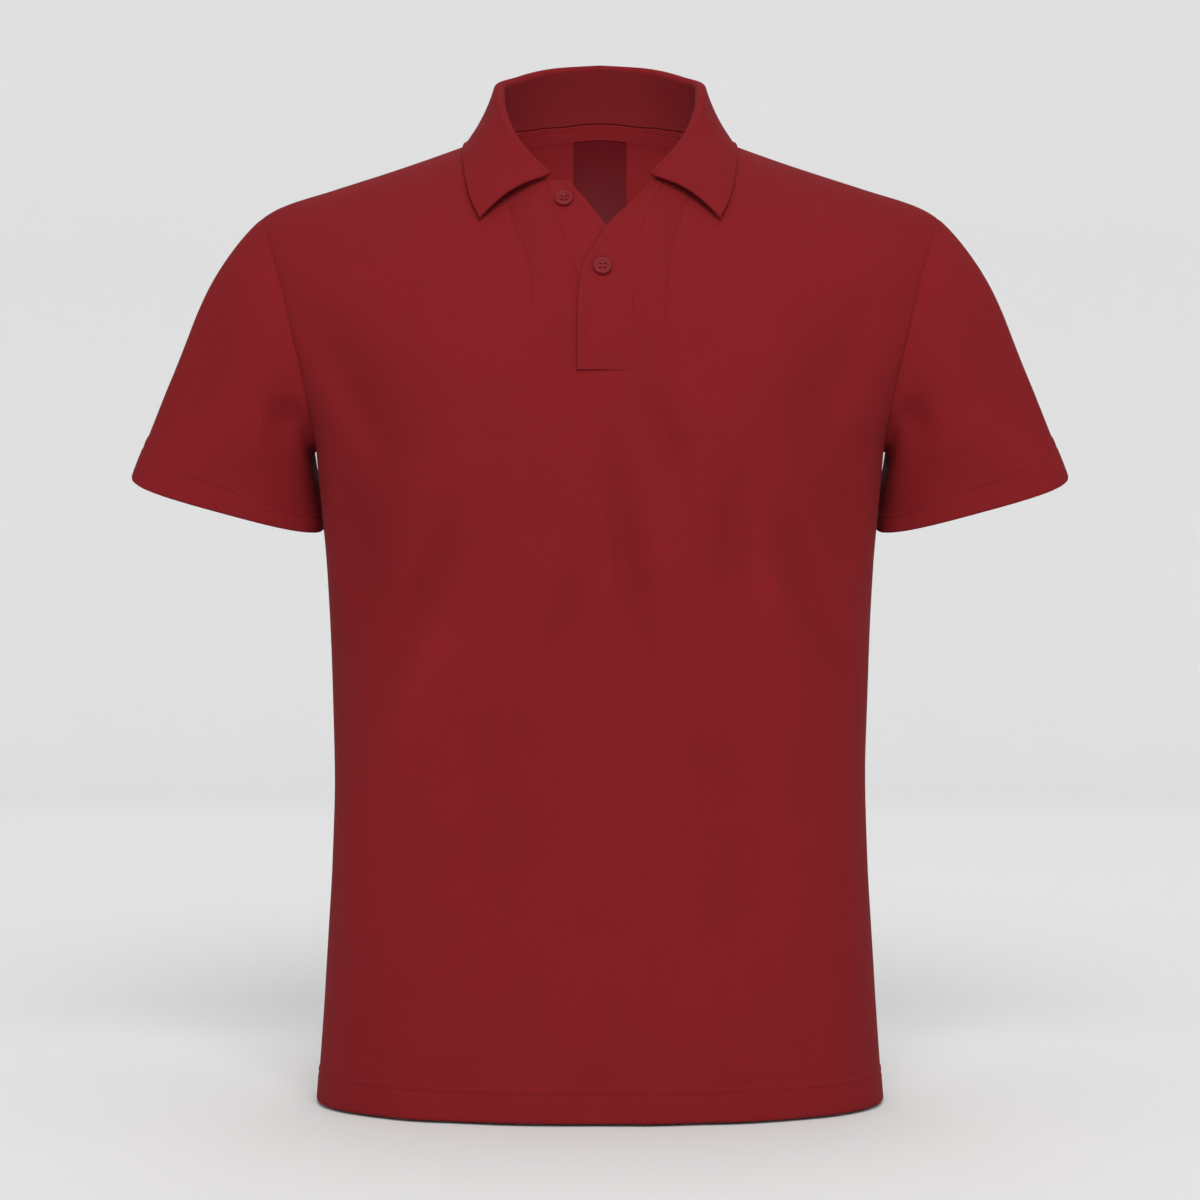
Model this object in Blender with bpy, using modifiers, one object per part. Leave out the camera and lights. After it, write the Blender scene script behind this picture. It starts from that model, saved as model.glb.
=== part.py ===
"""A short-sleeved polo shirt, filled out as it is when worn, with its placket open at the neck.

Metres, +Z up. The front faces -Y and the wearer's left sleeve is at +X. The origin is the middle of the neck,
level with the points where the shoulder seams meet the collar. Each piece of cloth is a wall between two
offsets of a grid of points, and neighbouring pieces share the edge points of their grids at a seam.
"""

import math

import bpy
import numpy as np
from mathutils import Vector
from mathutils.bvhtree import BVHTree

# ---- Driving sizes ----
CLOTH = 0.0015  # wall of a single layer of pique
HEM_EXTRA = 0.0007  # how far a turned-up hem stands proud of the cloth above it
STRIP = 0.0018  # each placket strip, a folded double layer
COLLAR = 0.0020
TAPE = 0.0010
LABEL = 0.0010
SEAM_GAP = 0.0003
PATCH_GAP = 0.0005  # between the back and what is sewn inside it
PATCH_SEARCH = 0.006  # how far inside the back its wall is looked for from
COLLAR_LIFT = 0.0009  # from the neckline's edge to the foot of the collar
MITRE_LIMIT = 0.75  # the least lean of a seam's shared normal that is still made up for
FRONT_BOW = 0.0050  # how far the middle of the collar's front edge is drawn back from a straight line
FRONT_BOW_START = 0.72  # share of the way round at which that drawing back begins
HEM_Z = -0.7195
HEM_HEIGHT = 0.024
HEM_STEP = 0.0025  # in which the cloth steps back above the hem
SLEEVE_HEM_HEIGHT = 0.023
SLEEVE_HEM_STEP = 0.015  # the same for a sleeve, as a share of its length
ARMPIT_Z = -0.235
SLOT_BOTTOM_Z = -0.184
LAP_TOP_Z = -0.074  # the placket's strips lie one over the other below this
LAP_FADE = 0.030
LAP_OFFSET = 0.0021  # how far each strip's free edge lies from the front's own surface
NECK_POINT_X = 0.076  # where shoulder seam, neckline and collar meet
NECK_CORNER_LEFT = 0.0490  # where the collar's front ends meet the placket, at the wearer's left and right
NECK_CORNER_RIGHT = 0.0395
SHOULDER_TIP_X = 0.2533
FRONT_SQUARENESS = 2.3  # exponent of the torso's section, 2 being an ellipse
BACK_SQUARENESS = 2.4
FRONT_ARCH = (2.3, 1.7)  # exponents of the rise from chest to shoulder seam, at its foot and at its top
BACK_ARCH = (2.2, 2.2)
# A button's turned outline: the radius, and the height as a share of the button's own.
BUTTON_PROFILE = [
    (0.0, 0.55),
    (0.0034, 0.55),
    (0.0042, 1.0),
    (0.0058, 1.0),
    (0.0067, 0.70),
    (0.0067, 0.35),
    (0.0056, 0.0),
    (0.0, 0.0),
]
BUTTON_FOOT_RADIUS = 0.0058
LOWER_BUTTON = (0.0018, -0.1094)  # x and z as seen from the front
TOP_BUTTON = (-0.0262, -0.0568)
BUTTON_HEIGHT = 0.0026
BUTTON_HOLE_RADIUS = 0.00085
BUTTON_HOLE_OFFSET = 0.0016
TAPE_HALF_WIDTH = 0.062
TAPE_DROPS = (0.0087, 0.0056, 0.0025)  # how far its rows lie below the neckline
LABEL_HALF_WIDTH = 0.0205
LABEL_DROPS = (0.0730, 0.0094)  # its lower and its upper edge

# The torso, level by level. edge_x is half its width at the side seam, or at the armhole above the armpit.
# turn is the share of the full depth that is left at the armhole, and 0 at a side seam.
TORSO_COLUMNS = ("z", "front_edge_x", "back_edge_x", "turn", "front_depth", "back_depth")
TORSO = [
    (-0.7195, 0.2105, 0.2105, 0.00, 0.1200, 0.1120),
    (-0.6600, 0.2062, 0.2062, 0.00, 0.1185, 0.1090),
    (-0.6000, 0.2026, 0.2026, 0.00, 0.1170, 0.1050),
    (-0.5400, 0.1992, 0.1992, 0.00, 0.1150, 0.0990),
    (-0.4800, 0.1976, 0.1976, 0.00, 0.1140, 0.0960),
    (-0.4200, 0.1992, 0.1992, 0.00, 0.1150, 0.0980),
    (-0.3600, 0.2014, 0.2014, 0.00, 0.1182, 0.1050),
    (-0.3170, 0.2040, 0.2040, 0.00, 0.1203, 0.1085),
    (-0.2860, 0.2068, 0.2068, 0.00, 0.1216, 0.1112),
    (-0.2500, 0.2101, 0.2101, 0.00, 0.1229, 0.1140),
    (-0.2350, 0.2114, 0.2114, 0.00, 0.1233, 0.1150),
    (-0.2290, 0.2117, 0.2116, 0.12, 0.1235, 0.1155),
    (-0.2200, 0.2124, 0.2119, 0.21, 0.1237, 0.1160),
    (-0.2060, 0.2142, 0.2128, 0.31, 0.1241, 0.1167),
    (-0.1840, 0.2183, 0.2153, 0.39, 0.1246, 0.1176),
    (-0.1450, 0.2275, 0.2240, 0.46, 0.1250, 0.1180),
    (-0.1100, 0.2365, 0.2330, 0.47, 0.1250, 0.1180),
    (-0.0800, 0.2465, 0.2440, 0.47, 0.1250, 0.1180),
    (-0.0615, 0.2533, 0.2533, 0.47, 0.1250, 0.1180),
    (0.0000, 0.2750, 0.2750, 0.47, 0.1250, 0.1180),
    (0.0400, 0.2850, 0.2850, 0.47, 0.1250, 0.1180),
]

# The crest of the shoulders, from the middle of the neck outwards.
RIDGE_COLUMNS = ("x", "y", "z")
RIDGE = [
    (0.0000, 0.0250, 0.0310),
    (0.0400, 0.0225, 0.0245),
    (0.0580, 0.0205, 0.0155),
    (0.0760, 0.0180, 0.0050),
    (0.0900, 0.0160, -0.0012),
    (0.1040, 0.0145, -0.0067),
    (0.1500, 0.0105, -0.0235),
    (0.2000, 0.0075, -0.0400),
    (0.2410, 0.0050, -0.0540),
    (0.2533, 0.0040, -0.0615),
    (0.2900, 0.0030, -0.0900),
]

# The necklines as seen from above.
NECKLINE_COLUMNS = ("x", "front_y", "back_y")
NECKLINE = [
    (0.0000, -0.0650, 0.0650),
    (0.0230, -0.0645, 0.0635),
    (0.0400, -0.0615, 0.0590),
    (0.0490, -0.0550, 0.0545),
    (0.0580, -0.0450, 0.0470),
    (0.0660, -0.0310, 0.0380),
    (0.0720, -0.0130, 0.0280),
    (0.0760, 0.0180, 0.0180),
]

# The placket's four edges as seen from the front. The under strip is sewn on at the wearer's right, the upper
# strip at the left, and the two part company above the lower button.
PLACKET_COLUMNS = ("z", "under_seam_x", "under_edge_x", "upper_edge_x", "upper_seam_x")
PLACKET = [
    (-0.1840, -0.0158, 0.0222, -0.0166, 0.0226),
    (-0.1500, -0.0158, 0.0222, -0.0166, 0.0228),
    (-0.1200, -0.0160, 0.0215, -0.0152, 0.0236),
    (-0.1085, -0.0178, 0.0195, -0.0126, 0.0244),
    (-0.0950, -0.0222, 0.0150, -0.0056, 0.0262),
    (-0.0760, -0.0296, 0.0048, 0.0066, 0.0314),
    (-0.0560, -0.0352, -0.0106, 0.0248, 0.0392),
    (-0.0405, -0.0395, -0.0228, 0.0393, 0.0470),
    (-0.0330, -0.0402, -0.0262, 0.0440, 0.0490),
]

# The collar from the middle of the back (along = 0) to its front end (along = 1): the crest of its fold, the
# free edge of its leaf, the radius of the fold, and how far the leaf sags towards the neck between the two.
COLLAR_COLUMNS = ("along", "crest_x", "crest_y", "crest_z", "edge_x", "edge_y", "edge_z", "radius", "sag")
COLLAR_STATIONS = [
    (0.00, 0.0000, 0.0600, 0.0636, 0.0000, 0.0800, 0.0100, 0.0036, 0.0000),
    (0.16, 0.0330, 0.0560, 0.0605, 0.0440, 0.0720, 0.0075, 0.0036, 0.0010),
    (0.32, 0.0595, 0.0400, 0.0510, 0.0800, 0.0480, 0.0010, 0.0036, 0.0030),
    (0.48, 0.0725, 0.0180, 0.0415, 0.1015, 0.0160, -0.0040, 0.0034, 0.0045),
    (0.61, 0.0715, -0.0050, 0.0260, 0.1025, -0.0200, -0.0160, 0.0032, 0.0040),
    (0.74, 0.0660, -0.0270, 0.0060, 0.1000, -0.0440, -0.0330, 0.0028, 0.0020),
    (0.87, 0.0530, -0.0465, -0.0170, 0.0950, -0.0655, -0.0535, 0.0024, -0.0020),
    (1.00, 0.0360, -0.0650, -0.0365, 0.0875, -0.0800, -0.0704, 0.0018, -0.0070),
]

# The largest folds: soft ridges (depth above 0) and troughs (below 0) from one point of a panel to another.
FOLD_COLUMNS = ("panel", "x1", "z1", "x2", "z2", "half_width", "depth")
FOLDS = [
    ("front", -0.214, -0.122, -0.134, -0.262, 0.020, -0.0100),
    ("front", -0.180, -0.220, -0.160, -0.410, 0.028, -0.0120),
    ("front", -0.098, -0.262, -0.156, -0.405, 0.014, -0.0090),
    ("front", -0.116, -0.345, -0.176, -0.505, 0.016, 0.0090),
    ("front", -0.194, -0.330, -0.186, -0.480, 0.014, -0.0053),
    ("front", 0.192, -0.116, 0.132, -0.258, 0.021, -0.0100),
    ("front", 0.184, -0.212, 0.176, -0.360, 0.026, -0.0100),
    ("front", 0.104, -0.235, 0.098, -0.385, 0.014, -0.0085),
    ("front", 0.126, -0.260, 0.190, -0.445, 0.014, -0.0085),
    ("front", 0.030, -0.188, 0.068, -0.276, 0.013, -0.0075),
    ("front", 0.006, -0.212, 0.032, -0.390, 0.012, -0.0085),
    ("front", -0.012, -0.300, -0.038, -0.390, 0.011, -0.0060),
    ("front", -0.062, -0.400, -0.082, -0.630, 0.026, -0.0045),
    ("front", 0.075, -0.420, 0.100, -0.650, 0.028, -0.0045),
    ("back", -0.200, -0.130, -0.110, -0.300, 0.020, -0.0083),
    ("back", 0.198, -0.124, 0.116, -0.290, 0.021, -0.0083),
    ("back", -0.176, -0.250, -0.104, -0.430, 0.018, -0.0069),
    ("back", 0.180, -0.240, 0.096, -0.440, 0.018, -0.0066),
    ("back", -0.116, -0.330, -0.168, -0.520, 0.017, 0.0060),
    ("back", 0.110, -0.340, 0.166, -0.530, 0.018, 0.0060),
    ("back", -0.040, -0.300, -0.058, -0.560, 0.024, 0.0054),
    ("back", 0.048, -0.320, 0.070, -0.590, 0.024, 0.0051),
    ("back", 0.000, -0.380, 0.004, -0.620, 0.016, -0.0045),
    ("back", -0.090, -0.470, -0.104, -0.660, 0.020, -0.0045),
    ("back", 0.104, -0.480, 0.112, -0.670, 0.022, -0.0042),
]

# A sleeve's folds, by the share of the way round from the underarm over the front, and of the way along from
# the armhole to the cuff.
SLEEVE_FOLD_COLUMNS = ("round1", "along1", "round2", "along2", "half_width", "depth")
SLEEVE_FOLDS = [
    (0.35, 0.15, 0.42, 0.92, 0.024, -0.0065),
    (0.19, 0.12, 0.29, 0.92, 0.020, 0.0048),
    (0.10, 0.08, 0.24, 0.64, 0.018, -0.0058),
    (0.30, 0.30, 0.34, 0.84, 0.014, -0.0030),
    (0.65, 0.15, 0.58, 0.90, 0.026, -0.0062),
    (0.81, 0.12, 0.72, 0.88, 0.021, 0.0045),
    (0.90, 0.08, 0.76, 0.62, 0.018, -0.0058),
]

# The sleeve's cuff, for the wearer's left sleeve: an oval whose long half axis lies across the front view.
CUFF_OUTER = (0.3485, 0.0060, -0.2545)
CUFF_INNER = (0.2090, 0.0340, -0.2925)
CUFF_HALF_DEPTH = 0.042
CUFF_FRONT_DROP = 0.0098
CUFF_SQUARENESS = 3.0
SLEEVE_GIRTH = 0.36
# How the sleeve leaves the armhole at its top, at its sides and under the arm, and how it meets the cuff.
LEAVE_TOP = (0.120, -0.004, -0.100)
LEAVE_UNDER = (0.036, 0.008, -0.008)
LEAVE_SIDE = (0.030, 0.010, -0.022)
ARRIVE_TOP = (0.072, 0.000, -0.215)
ARRIVE_UNDER = (0.000, 0.000, -0.095)

# Grid counts
BODY_ROWS = 14
ARMPIT_ROWS = 3
YOKE_ROWS = 9
NECK_CELLS = 5
SHOULDER_CELLS = 10
SLOT_CELLS = 2
SLEEVE_ROWS = 9
STAND_CELLS = 3
FOLD_CELLS = 4
LEAF_CELLS = 5
STRIP_SHARES = (0.0, 0.15, 0.5, 0.85, 1.0)
BUTTON_SEGMENTS = 24
HOLE_SEGMENTS = 10
TAPE_CELLS = 20
LABEL_CELLS = (6, 8)  # across and up

SHIRT_RED = (0.225, 0.017, 0.021, 1.0)
LABEL_RED = (0.080, 0.004, 0.006, 1.0)
BUTTON_RED = (0.240, 0.018, 0.024, 1.0)


# ---- Curves through the tables ----
def column(table, names, name):
    return np.array([row[names.index(name)] for row in table], float)


def rows_of(table, names):
    return [dict(zip(names, row)) for row in table]


def smooth(keys, values, flat_start=False):
    """A curve through the points that turns only where they do."""
    step = np.diff(keys)
    slope = np.diff(values) / step
    tangent = np.zeros(len(keys))
    tangent[0], tangent[-1] = 0.0 if flat_start else slope[0], slope[-1]
    for i in range(1, len(keys) - 1):
        if slope[i - 1] * slope[i] > 0:
            before, after = step[i - 1], step[i]
            weights = (2 * after + before, after + 2 * before)
            tangent[i] = sum(weights) / (weights[0] / slope[i - 1] + weights[1] / slope[i])

    def at(x):
        x = np.clip(np.asarray(x, float), keys[0], keys[-1])
        i = np.clip(np.searchsorted(keys, x, side="right") - 1, 0, len(step) - 1)
        h = step[i]
        t = (x - keys[i]) / h
        return (
            (1 + 2 * t) * (1 - t) ** 2 * values[i]
            + t * (1 - t) ** 2 * h * tangent[i]
            + t * t * (3 - 2 * t) * values[i + 1]
            + t * t * (t - 1) * h * tangent[i + 1]
        )

    return at


def curve(table, names, key, name, flat_start=False):
    return smooth(column(table, names, key), column(table, names, name), flat_start)


def ease(t):
    t = np.clip(t, 0.0, 1.0)
    return t * t * (3 - 2 * t)


def unit(vectors):
    return vectors / np.maximum(np.linalg.norm(vectors, axis=-1, keepdims=True), 1e-12)


def evenly_along(points, count):
    """count + 1 points at equal steps along the way through the given ones."""
    steps = np.linalg.norm(np.diff(points, axis=0), axis=1)
    way = np.concatenate([[0.0], np.cumsum(steps)])
    wanted = np.linspace(0.0, way[-1], count + 1)
    return np.stack([np.interp(wanted, way, points[:, i]) for i in range(3)], axis=1)


ridge_y = curve(RIDGE, RIDGE_COLUMNS, "x", "y", flat_start=True)
ridge_z = curve(RIDGE, RIDGE_COLUMNS, "x", "z", flat_start=True)
turn_at = curve(TORSO, TORSO_COLUMNS, "z", "turn")


class Side:
    """The front or the back of the torso as a surface over the front view."""

    def __init__(self, name, facing, squareness, arch):
        self.name = name
        self.facing = facing
        self.squareness = squareness
        self.arch = arch
        self.edge_x = curve(TORSO, TORSO_COLUMNS, "z", name + "_edge_x")
        self.depth = curve(TORSO, TORSO_COLUMNS, "z", name + "_depth")
        self.neckline_y = curve(NECKLINE, NECKLINE_COLUMNS, "x", name + "_y", flat_start=True)

    def full_angle(self, z):
        """The angle round the section at its edge: a right angle at a side seam, less at an armhole."""
        return np.arccos(np.power(turn_at(z), self.squareness / 2))

    def full_width(self, z):
        return self.edge_x(z) / np.power(np.sin(self.full_angle(z)), 2 / self.squareness)

    def angle_of(self, x, z):
        share = np.clip(np.abs(x) / self.full_width(z), 0.0, 1.0)
        return np.sign(x) * np.arcsin(np.power(share, self.squareness / 2))

    def x_of(self, angle, z):
        return np.sign(angle) * self.full_width(z) * np.power(np.sin(np.abs(angle)), 2 / self.squareness)

    def y_of(self, x, z, angle=None):
        """How far forward or back the cloth is at that place of the front view."""
        if angle is None:
            angle = self.angle_of(x, z)
        rise = np.clip((z - ARMPIT_Z) / (ridge_z(np.abs(x)) - ARMPIT_Z), 0.0, 1.0)
        arch = np.power(1 - np.power(rise, self.arch[0]), 1 / self.arch[1])
        across = np.power(np.maximum(np.cos(angle), 0.0), 2 / self.squareness)
        return ridge_y(np.abs(x)) * ease(rise) + self.facing * self.depth(z) * across * arch

    def point(self, x, z):
        return np.stack([x, self.y_of(x, z), z], axis=-1)

    def normal(self, x, z, step=0.0005):
        across = self.point(x + step, z) - self.point(x - step, z)
        upward = self.point(x, z + step) - self.point(x, z - step)
        return unit(np.cross(upward, across) * self.facing)

    def neckline_z(self, x):
        """The height at which the cloth reaches the neckline's place as seen from above."""
        wanted = self.neckline_y(x)
        low = np.full(np.shape(x), SLOT_BOTTOM_Z)
        high = ridge_z(x) + np.zeros(np.shape(x))
        for _ in range(40):
            middle = (low + high) / 2
            short = self.facing * (self.y_of(x, middle) - wanted) > 0
            low, high = np.where(short, middle, low), np.where(short, high, middle)
        return high

    def neckline(self, inner_x, count):
        """Points of the neckline from inner_x out to the neck point, for the half at positive X."""
        x = inner_x + (NECK_POINT_X - inner_x) * np.sin(np.linspace(0.0, math.pi / 2, 80))
        return evenly_along(self.point(x, self.neckline_z(x)), count)


FRONT = Side("front", -1, FRONT_SQUARENESS, FRONT_ARCH)
BACK = Side("back", 1, BACK_SQUARENESS, BACK_ARCH)
under_seam_x, under_edge_x, upper_edge_x, upper_seam_x = (
    curve(PLACKET, PLACKET_COLUMNS, "z", name) for name in PLACKET_COLUMNS[1:]
)


def fold_offset(panel, x, z):
    """How far the folds stand out of a panel at that place of the front view."""
    total = np.zeros(np.broadcast(x, z).shape)
    for fold in rows_of(FOLDS, FOLD_COLUMNS):
        if fold["panel"] != panel:
            continue
        dx, dz = fold["x2"] - fold["x1"], fold["z2"] - fold["z1"]
        length = math.hypot(dx, dz)
        from_x, from_z = x - fold["x1"], z - fold["z1"]
        along = np.clip((from_x * dx + from_z * dz) / length**2, 0.0, 1.0)
        aside = (from_x * dz - from_z * dx) / length
        total += fold["depth"] * np.sin(np.pi * along) ** 1.5 * np.exp(-((aside / fold["half_width"]) ** 2))
    return total


# ---- Walls of cloth ----
class Sheet:
    """A grid of points with its quads, before it is given its thickness."""

    def __init__(self, name, points, keep=None, ring=False):
        rows, columns = points.shape[:2]
        self.name = name
        self.points = points.reshape(-1, 3).copy()
        last = columns if ring else columns - 1
        quads = []
        for i in range(rows - 1):
            for j in range(last):
                if keep is None or keep[i, j]:
                    k = (j + 1) % columns
                    low, high = i * columns, (i + 1) * columns
                    quads.append((low + j, low + k, high + k, high + j))
        self.quads = np.array(quads)
        self.normals = self.own_normals()

    def own_normals(self):
        a, b, c, d = (self.points[self.quads[:, i]] for i in range(4))
        face = np.cross(c - a, d - b)
        normals = np.zeros_like(self.points)
        for i in range(4):
            np.add.at(normals, self.quads[:, i], face)
        return unit(normals)

    def rim(self):
        """The directed edges that only one quad has."""
        edges = {(int(q[i]), int(q[(i + 1) % 4])) for q in self.quads for i in range(4)}
        return [(a, b) for a, b in edges if (b, a) not in edges]

    def inset(self, distance):
        """Moves the rim in along the cloth."""
        pulls = {}
        for a, b in sorted(self.rim()):
            direction = unit(self.points[b] - self.points[a])
            for point in (a, b):
                pulls.setdefault(point, []).append(unit(np.cross(self.normals[point], direction)))
        for point, (one, other) in pulls.items():
            self.points[point] += distance * (one + other) / (1 + one @ other)

    def triangles(self):
        """Each quad as two triangles, parted along its shorter diagonal."""
        parted = []
        for a, b, c, d in self.quads:
            one, other = self.points[a] - self.points[c], self.points[b] - self.points[d]
            if one @ one <= other @ other:
                parted += [(a, b, c), (a, c, d)]
            else:
                parted += [(a, b, d), (b, c, d)]
        return np.array(parted)

    def rim_faces(self, a, b, count):
        """The wall's edge between two points, parted the same way in both pieces of a seam."""
        apart = self.points[b] - self.points[a]
        if apart[np.argmax(np.abs(apart))] > 0:
            return [(b, a, b + count), (a, a + count, b + count)]
        return [(b, a, a + count), (b, a + count, b + count)]

    def thicken(self, outward, inward):
        """A closed mesh from outward of the points, along the normals, to inward of them."""
        count = len(self.points)
        outer = self.points + self.normals * np.broadcast_to(outward, count)[:, None]
        inner = self.points - self.normals * np.broadcast_to(inward, count)[:, None]
        triangles = self.triangles()
        faces = [tuple(t) for t in triangles]
        faces += [tuple(t[::-1] + count) for t in triangles]
        for a, b in self.rim():
            faces += self.rim_faces(a, b, count)
        used = sorted({int(v) for f in faces for v in f})
        place = {v: i for i, v in enumerate(used)}
        points = np.concatenate([outer, inner])[used]
        return points, [[place[int(v)] for v in f] for f in faces]


def share_seam_normals(sheets):
    """Gives points that lie together in several sheets one normal, so that their walls meet in a mitre."""
    found = {}
    for sheet in sheets:
        for point in {v for edge in sheet.rim() for v in edge}:
            key = tuple(np.round(sheet.points[point], 6))
            found.setdefault(key, []).append((sheet, point))
    for places in found.values():
        if len(places) < 2:
            continue
        total = unit(sum(sheet.normals[point] for sheet, point in places))
        lean = min(float(total @ sheet.normals[point]) for sheet, point in places)
        for sheet, point in places:
            sheet.normals[point] = total / max(lean, MITRE_LIMIT)


def material(name, colour, roughness):
    made = bpy.data.materials.new(name)
    made.use_nodes = True
    shader = made.node_tree.nodes["Principled BSDF"]
    shader.inputs["Base Color"].default_value = colour
    shader.inputs["Roughness"].default_value = roughness
    shader.inputs["Metallic"].default_value = 0.0
    return made


def add_object(name, points, faces, finish, collection, smooth_angle=40):
    mesh = bpy.data.meshes.new(name)
    mesh.from_pydata([tuple(p) for p in points], [], faces)
    mesh.shade_smooth()
    mesh.set_sharp_from_angle(angle=math.radians(smooth_angle))
    mesh.materials.append(finish)
    made = bpy.data.objects.new(name, mesh)
    collection.objects.link(made)
    return made


def add_sheet(sheet, finish, collection, outward=CLOTH / 2, inward=CLOTH / 2):
    points, faces = sheet.thicken(outward, inward)
    return add_object(sheet.name, points, faces, finish, collection)


# ---- The torso panels ----
def row_levels():
    """The heights of the rows up to the slot's bottom."""
    hem_top = HEM_Z + HEM_HEIGHT
    hem = np.array([HEM_Z, HEM_Z + HEM_HEIGHT / 2, hem_top])
    body = np.linspace(hem_top + HEM_STEP, ARMPIT_Z, BODY_ROWS + 1)
    climb = (np.arange(1, ARMPIT_ROWS + 1) / ARMPIT_ROWS) ** 2
    return np.concatenate([hem, body, ARMPIT_Z + (SLOT_BOTTOM_Z - ARMPIT_Z) * climb])


def yoke_heights(top_x, top_z):
    """The rows above the slot's bottom, closer together where the cloth turns over the shoulder."""
    reach = ridge_z(top_x) - ARMPIT_Z
    start = np.arcsin((SLOT_BOTTOM_Z - ARMPIT_Z) / reach)
    end = np.arcsin(np.clip((top_z - ARMPIT_Z) / reach, 0.0, 1.0))
    share = np.linspace(0.0, 1.0, YOKE_ROWS + 1)[1:, None]
    return ARMPIT_Z + reach * np.sin(start + (end - start) * share)


def half_panel(side, inner_x, corner):
    """The grid of a panel's half at positive X, from its inner edge inner_x(z) to the side.

    Each column runs from the hem up to a point of the neckline, which starts at corner, or of the shoulder.
    """
    neck = side.neckline(corner, NECK_CELLS)
    x = np.linspace(NECK_POINT_X, SHOULDER_TIP_X, SHOULDER_CELLS + 1)[1:]
    shoulder = np.stack([x, ridge_y(x), ridge_z(x)], axis=1)
    tops = np.concatenate([neck, shoulder])
    top_x, top_z = tops[:, 0], tops[:, 2]
    inner_angle = side.angle_of(inner_x(top_z), top_z)
    share = (side.angle_of(top_x, top_z) - inner_angle) / (side.full_angle(top_z) - inner_angle)
    share[0], share[-1] = 0.0, 1.0
    levels = np.repeat(row_levels()[:, None], len(tops), axis=1)
    z = np.concatenate([levels, yoke_heights(top_x, top_z)])
    inner_angle = side.angle_of(inner_x(z), z)
    angle = inner_angle + share[None, :] * (side.full_angle(z) - inner_angle)
    x = side.x_of(angle, z)
    points = np.stack([x, side.y_of(x, z, angle), z], axis=-1)
    points[-1] = tops
    return points


def mirrored(points):
    return points[:, ::-1] * np.array([-1.0, 1.0, 1.0])


def with_folds(side, points):
    """The grid with the folds raised, which fade out towards the seams at its edges."""
    x, z = points[..., 0], points[..., 2]
    folded = points.copy()
    folded[..., 1] += side.facing * fold_offset(side.name, x, z)
    for edge in (np.s_[:, 0], np.s_[:, -1], np.s_[-1, :]):
        folded[edge] = points[edge]
    return folded


def front_sheet():
    wearers_left = half_panel(FRONT, upper_seam_x, NECK_CORNER_LEFT)
    wearers_right = mirrored(half_panel(FRONT, lambda z: -under_seam_x(z), NECK_CORNER_RIGHT))
    seams = wearers_right[:, -1], wearers_left[:, 0]
    shares = np.linspace(0.0, 1.0, SLOT_CELLS + 1)[1:-1]
    middle = np.stack([seams[0] + s * (seams[1] - seams[0]) for s in shares], axis=1)
    middle[..., 1] = FRONT.y_of(middle[..., 0], middle[..., 2])
    points = np.concatenate([wearers_right, middle, wearers_left], axis=1)
    slot_row = len(row_levels()) - 1
    slot_column = wearers_right.shape[1] - 1
    keep = np.ones((points.shape[0] - 1, points.shape[1] - 1), bool)
    keep[slot_row:, slot_column : slot_column + SLOT_CELLS] = False
    folded = with_folds(FRONT, points)
    slot = np.s_[slot_row:, slot_column : slot_column + SLOT_CELLS + 1]
    folded[slot] = points[slot]
    return Sheet("front", folded, keep), points, (slot_row, slot_column)


def back_sheet():
    half = half_panel(BACK, lambda z: np.zeros_like(z), 0.0)
    points = np.concatenate([half[:, ::-1], mirrored(half)[:, ::-1][:, 1:]], axis=1)
    return Sheet("back", with_folds(BACK, points)), points


# ---- The sleeves ----
def armhole(front_grid, back_grid):
    """The wearer's left armhole from the underarm up the front to the shoulder tip and down the back."""
    armpit_row = int(np.argmin(np.abs(row_levels() - ARMPIT_Z)))
    up_front = front_grid[armpit_row:, -1]
    down_back = back_grid[armpit_row:, 0][::-1]
    return np.concatenate([up_front, down_back[1:-1]])


def sleeve_grid(loop):
    """Rows from the armhole to the cuff, columns round from the underarm over the front."""
    closed = np.concatenate([loop, loop[:1]])
    way = np.concatenate([[0.0], np.cumsum(np.linalg.norm(np.diff(closed, axis=0), axis=1))])
    tip = int(np.argmax(loop[:, 2]))
    up = way[: tip + 1] / way[tip] / 2
    down = 0.5 + (way[tip + 1 : -1] - way[tip]) / (way[-1] - way[tip]) / 2
    turn = 2 * math.pi * np.concatenate([up, down])
    inner, outer = np.array(CUFF_INNER), np.array(CUFF_OUTER)
    centre, half = (inner + outer) / 2, (inner - outer) / 2
    drop = unit(np.cross(half, (0.0, 1.0, 0.0)))
    drop *= -np.sign(drop[2]) * CUFF_FRONT_DROP
    flat = 2 / CUFF_SQUARENESS
    forward = drop - CUFF_HALF_DEPTH * np.array([0.0, 1.0, 0.0])
    cosine, sine = np.cos(turn)[:, None], np.sin(turn)[:, None]
    across = np.sign(cosine) * np.abs(cosine) ** flat
    cuff = centre + half * across + forward * np.sign(sine) * np.abs(sine) ** flat
    over = ease((1 - cosine) / 2)
    outward_x, outward_y, outward_z = LEAVE_SIDE
    leave_side = np.concatenate([outward_x + 0 * sine, -outward_y * sine, outward_z + 0 * sine], axis=1)
    leave = over * np.array(LEAVE_TOP) + (1 - over) * np.array(LEAVE_UNDER) + sine**2 * leave_side
    arrive = over * np.array(ARRIVE_TOP) + (1 - over) * np.array(ARRIVE_UNDER)
    hem_share = SLEEVE_HEM_HEIGHT / np.linalg.norm(cuff - loop, axis=1).mean()
    above_hem = np.linspace(0.0, 1 - hem_share - SLEEVE_HEM_STEP, SLEEVE_ROWS)
    shares = np.concatenate([above_hem, [1 - hem_share, 1 - hem_share / 2, 1.0]])
    rows = []
    for t in shares:
        rows.append(
            (2 * t**3 - 3 * t**2 + 1) * loop
            + (t**3 - 2 * t**2 + t) * leave
            + (3 * t**2 - 2 * t**3) * cuff
            + (t**3 - t**2) * arrive
        )
    return np.array(rows), turn / (2 * math.pi), shares, hem_share


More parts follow.
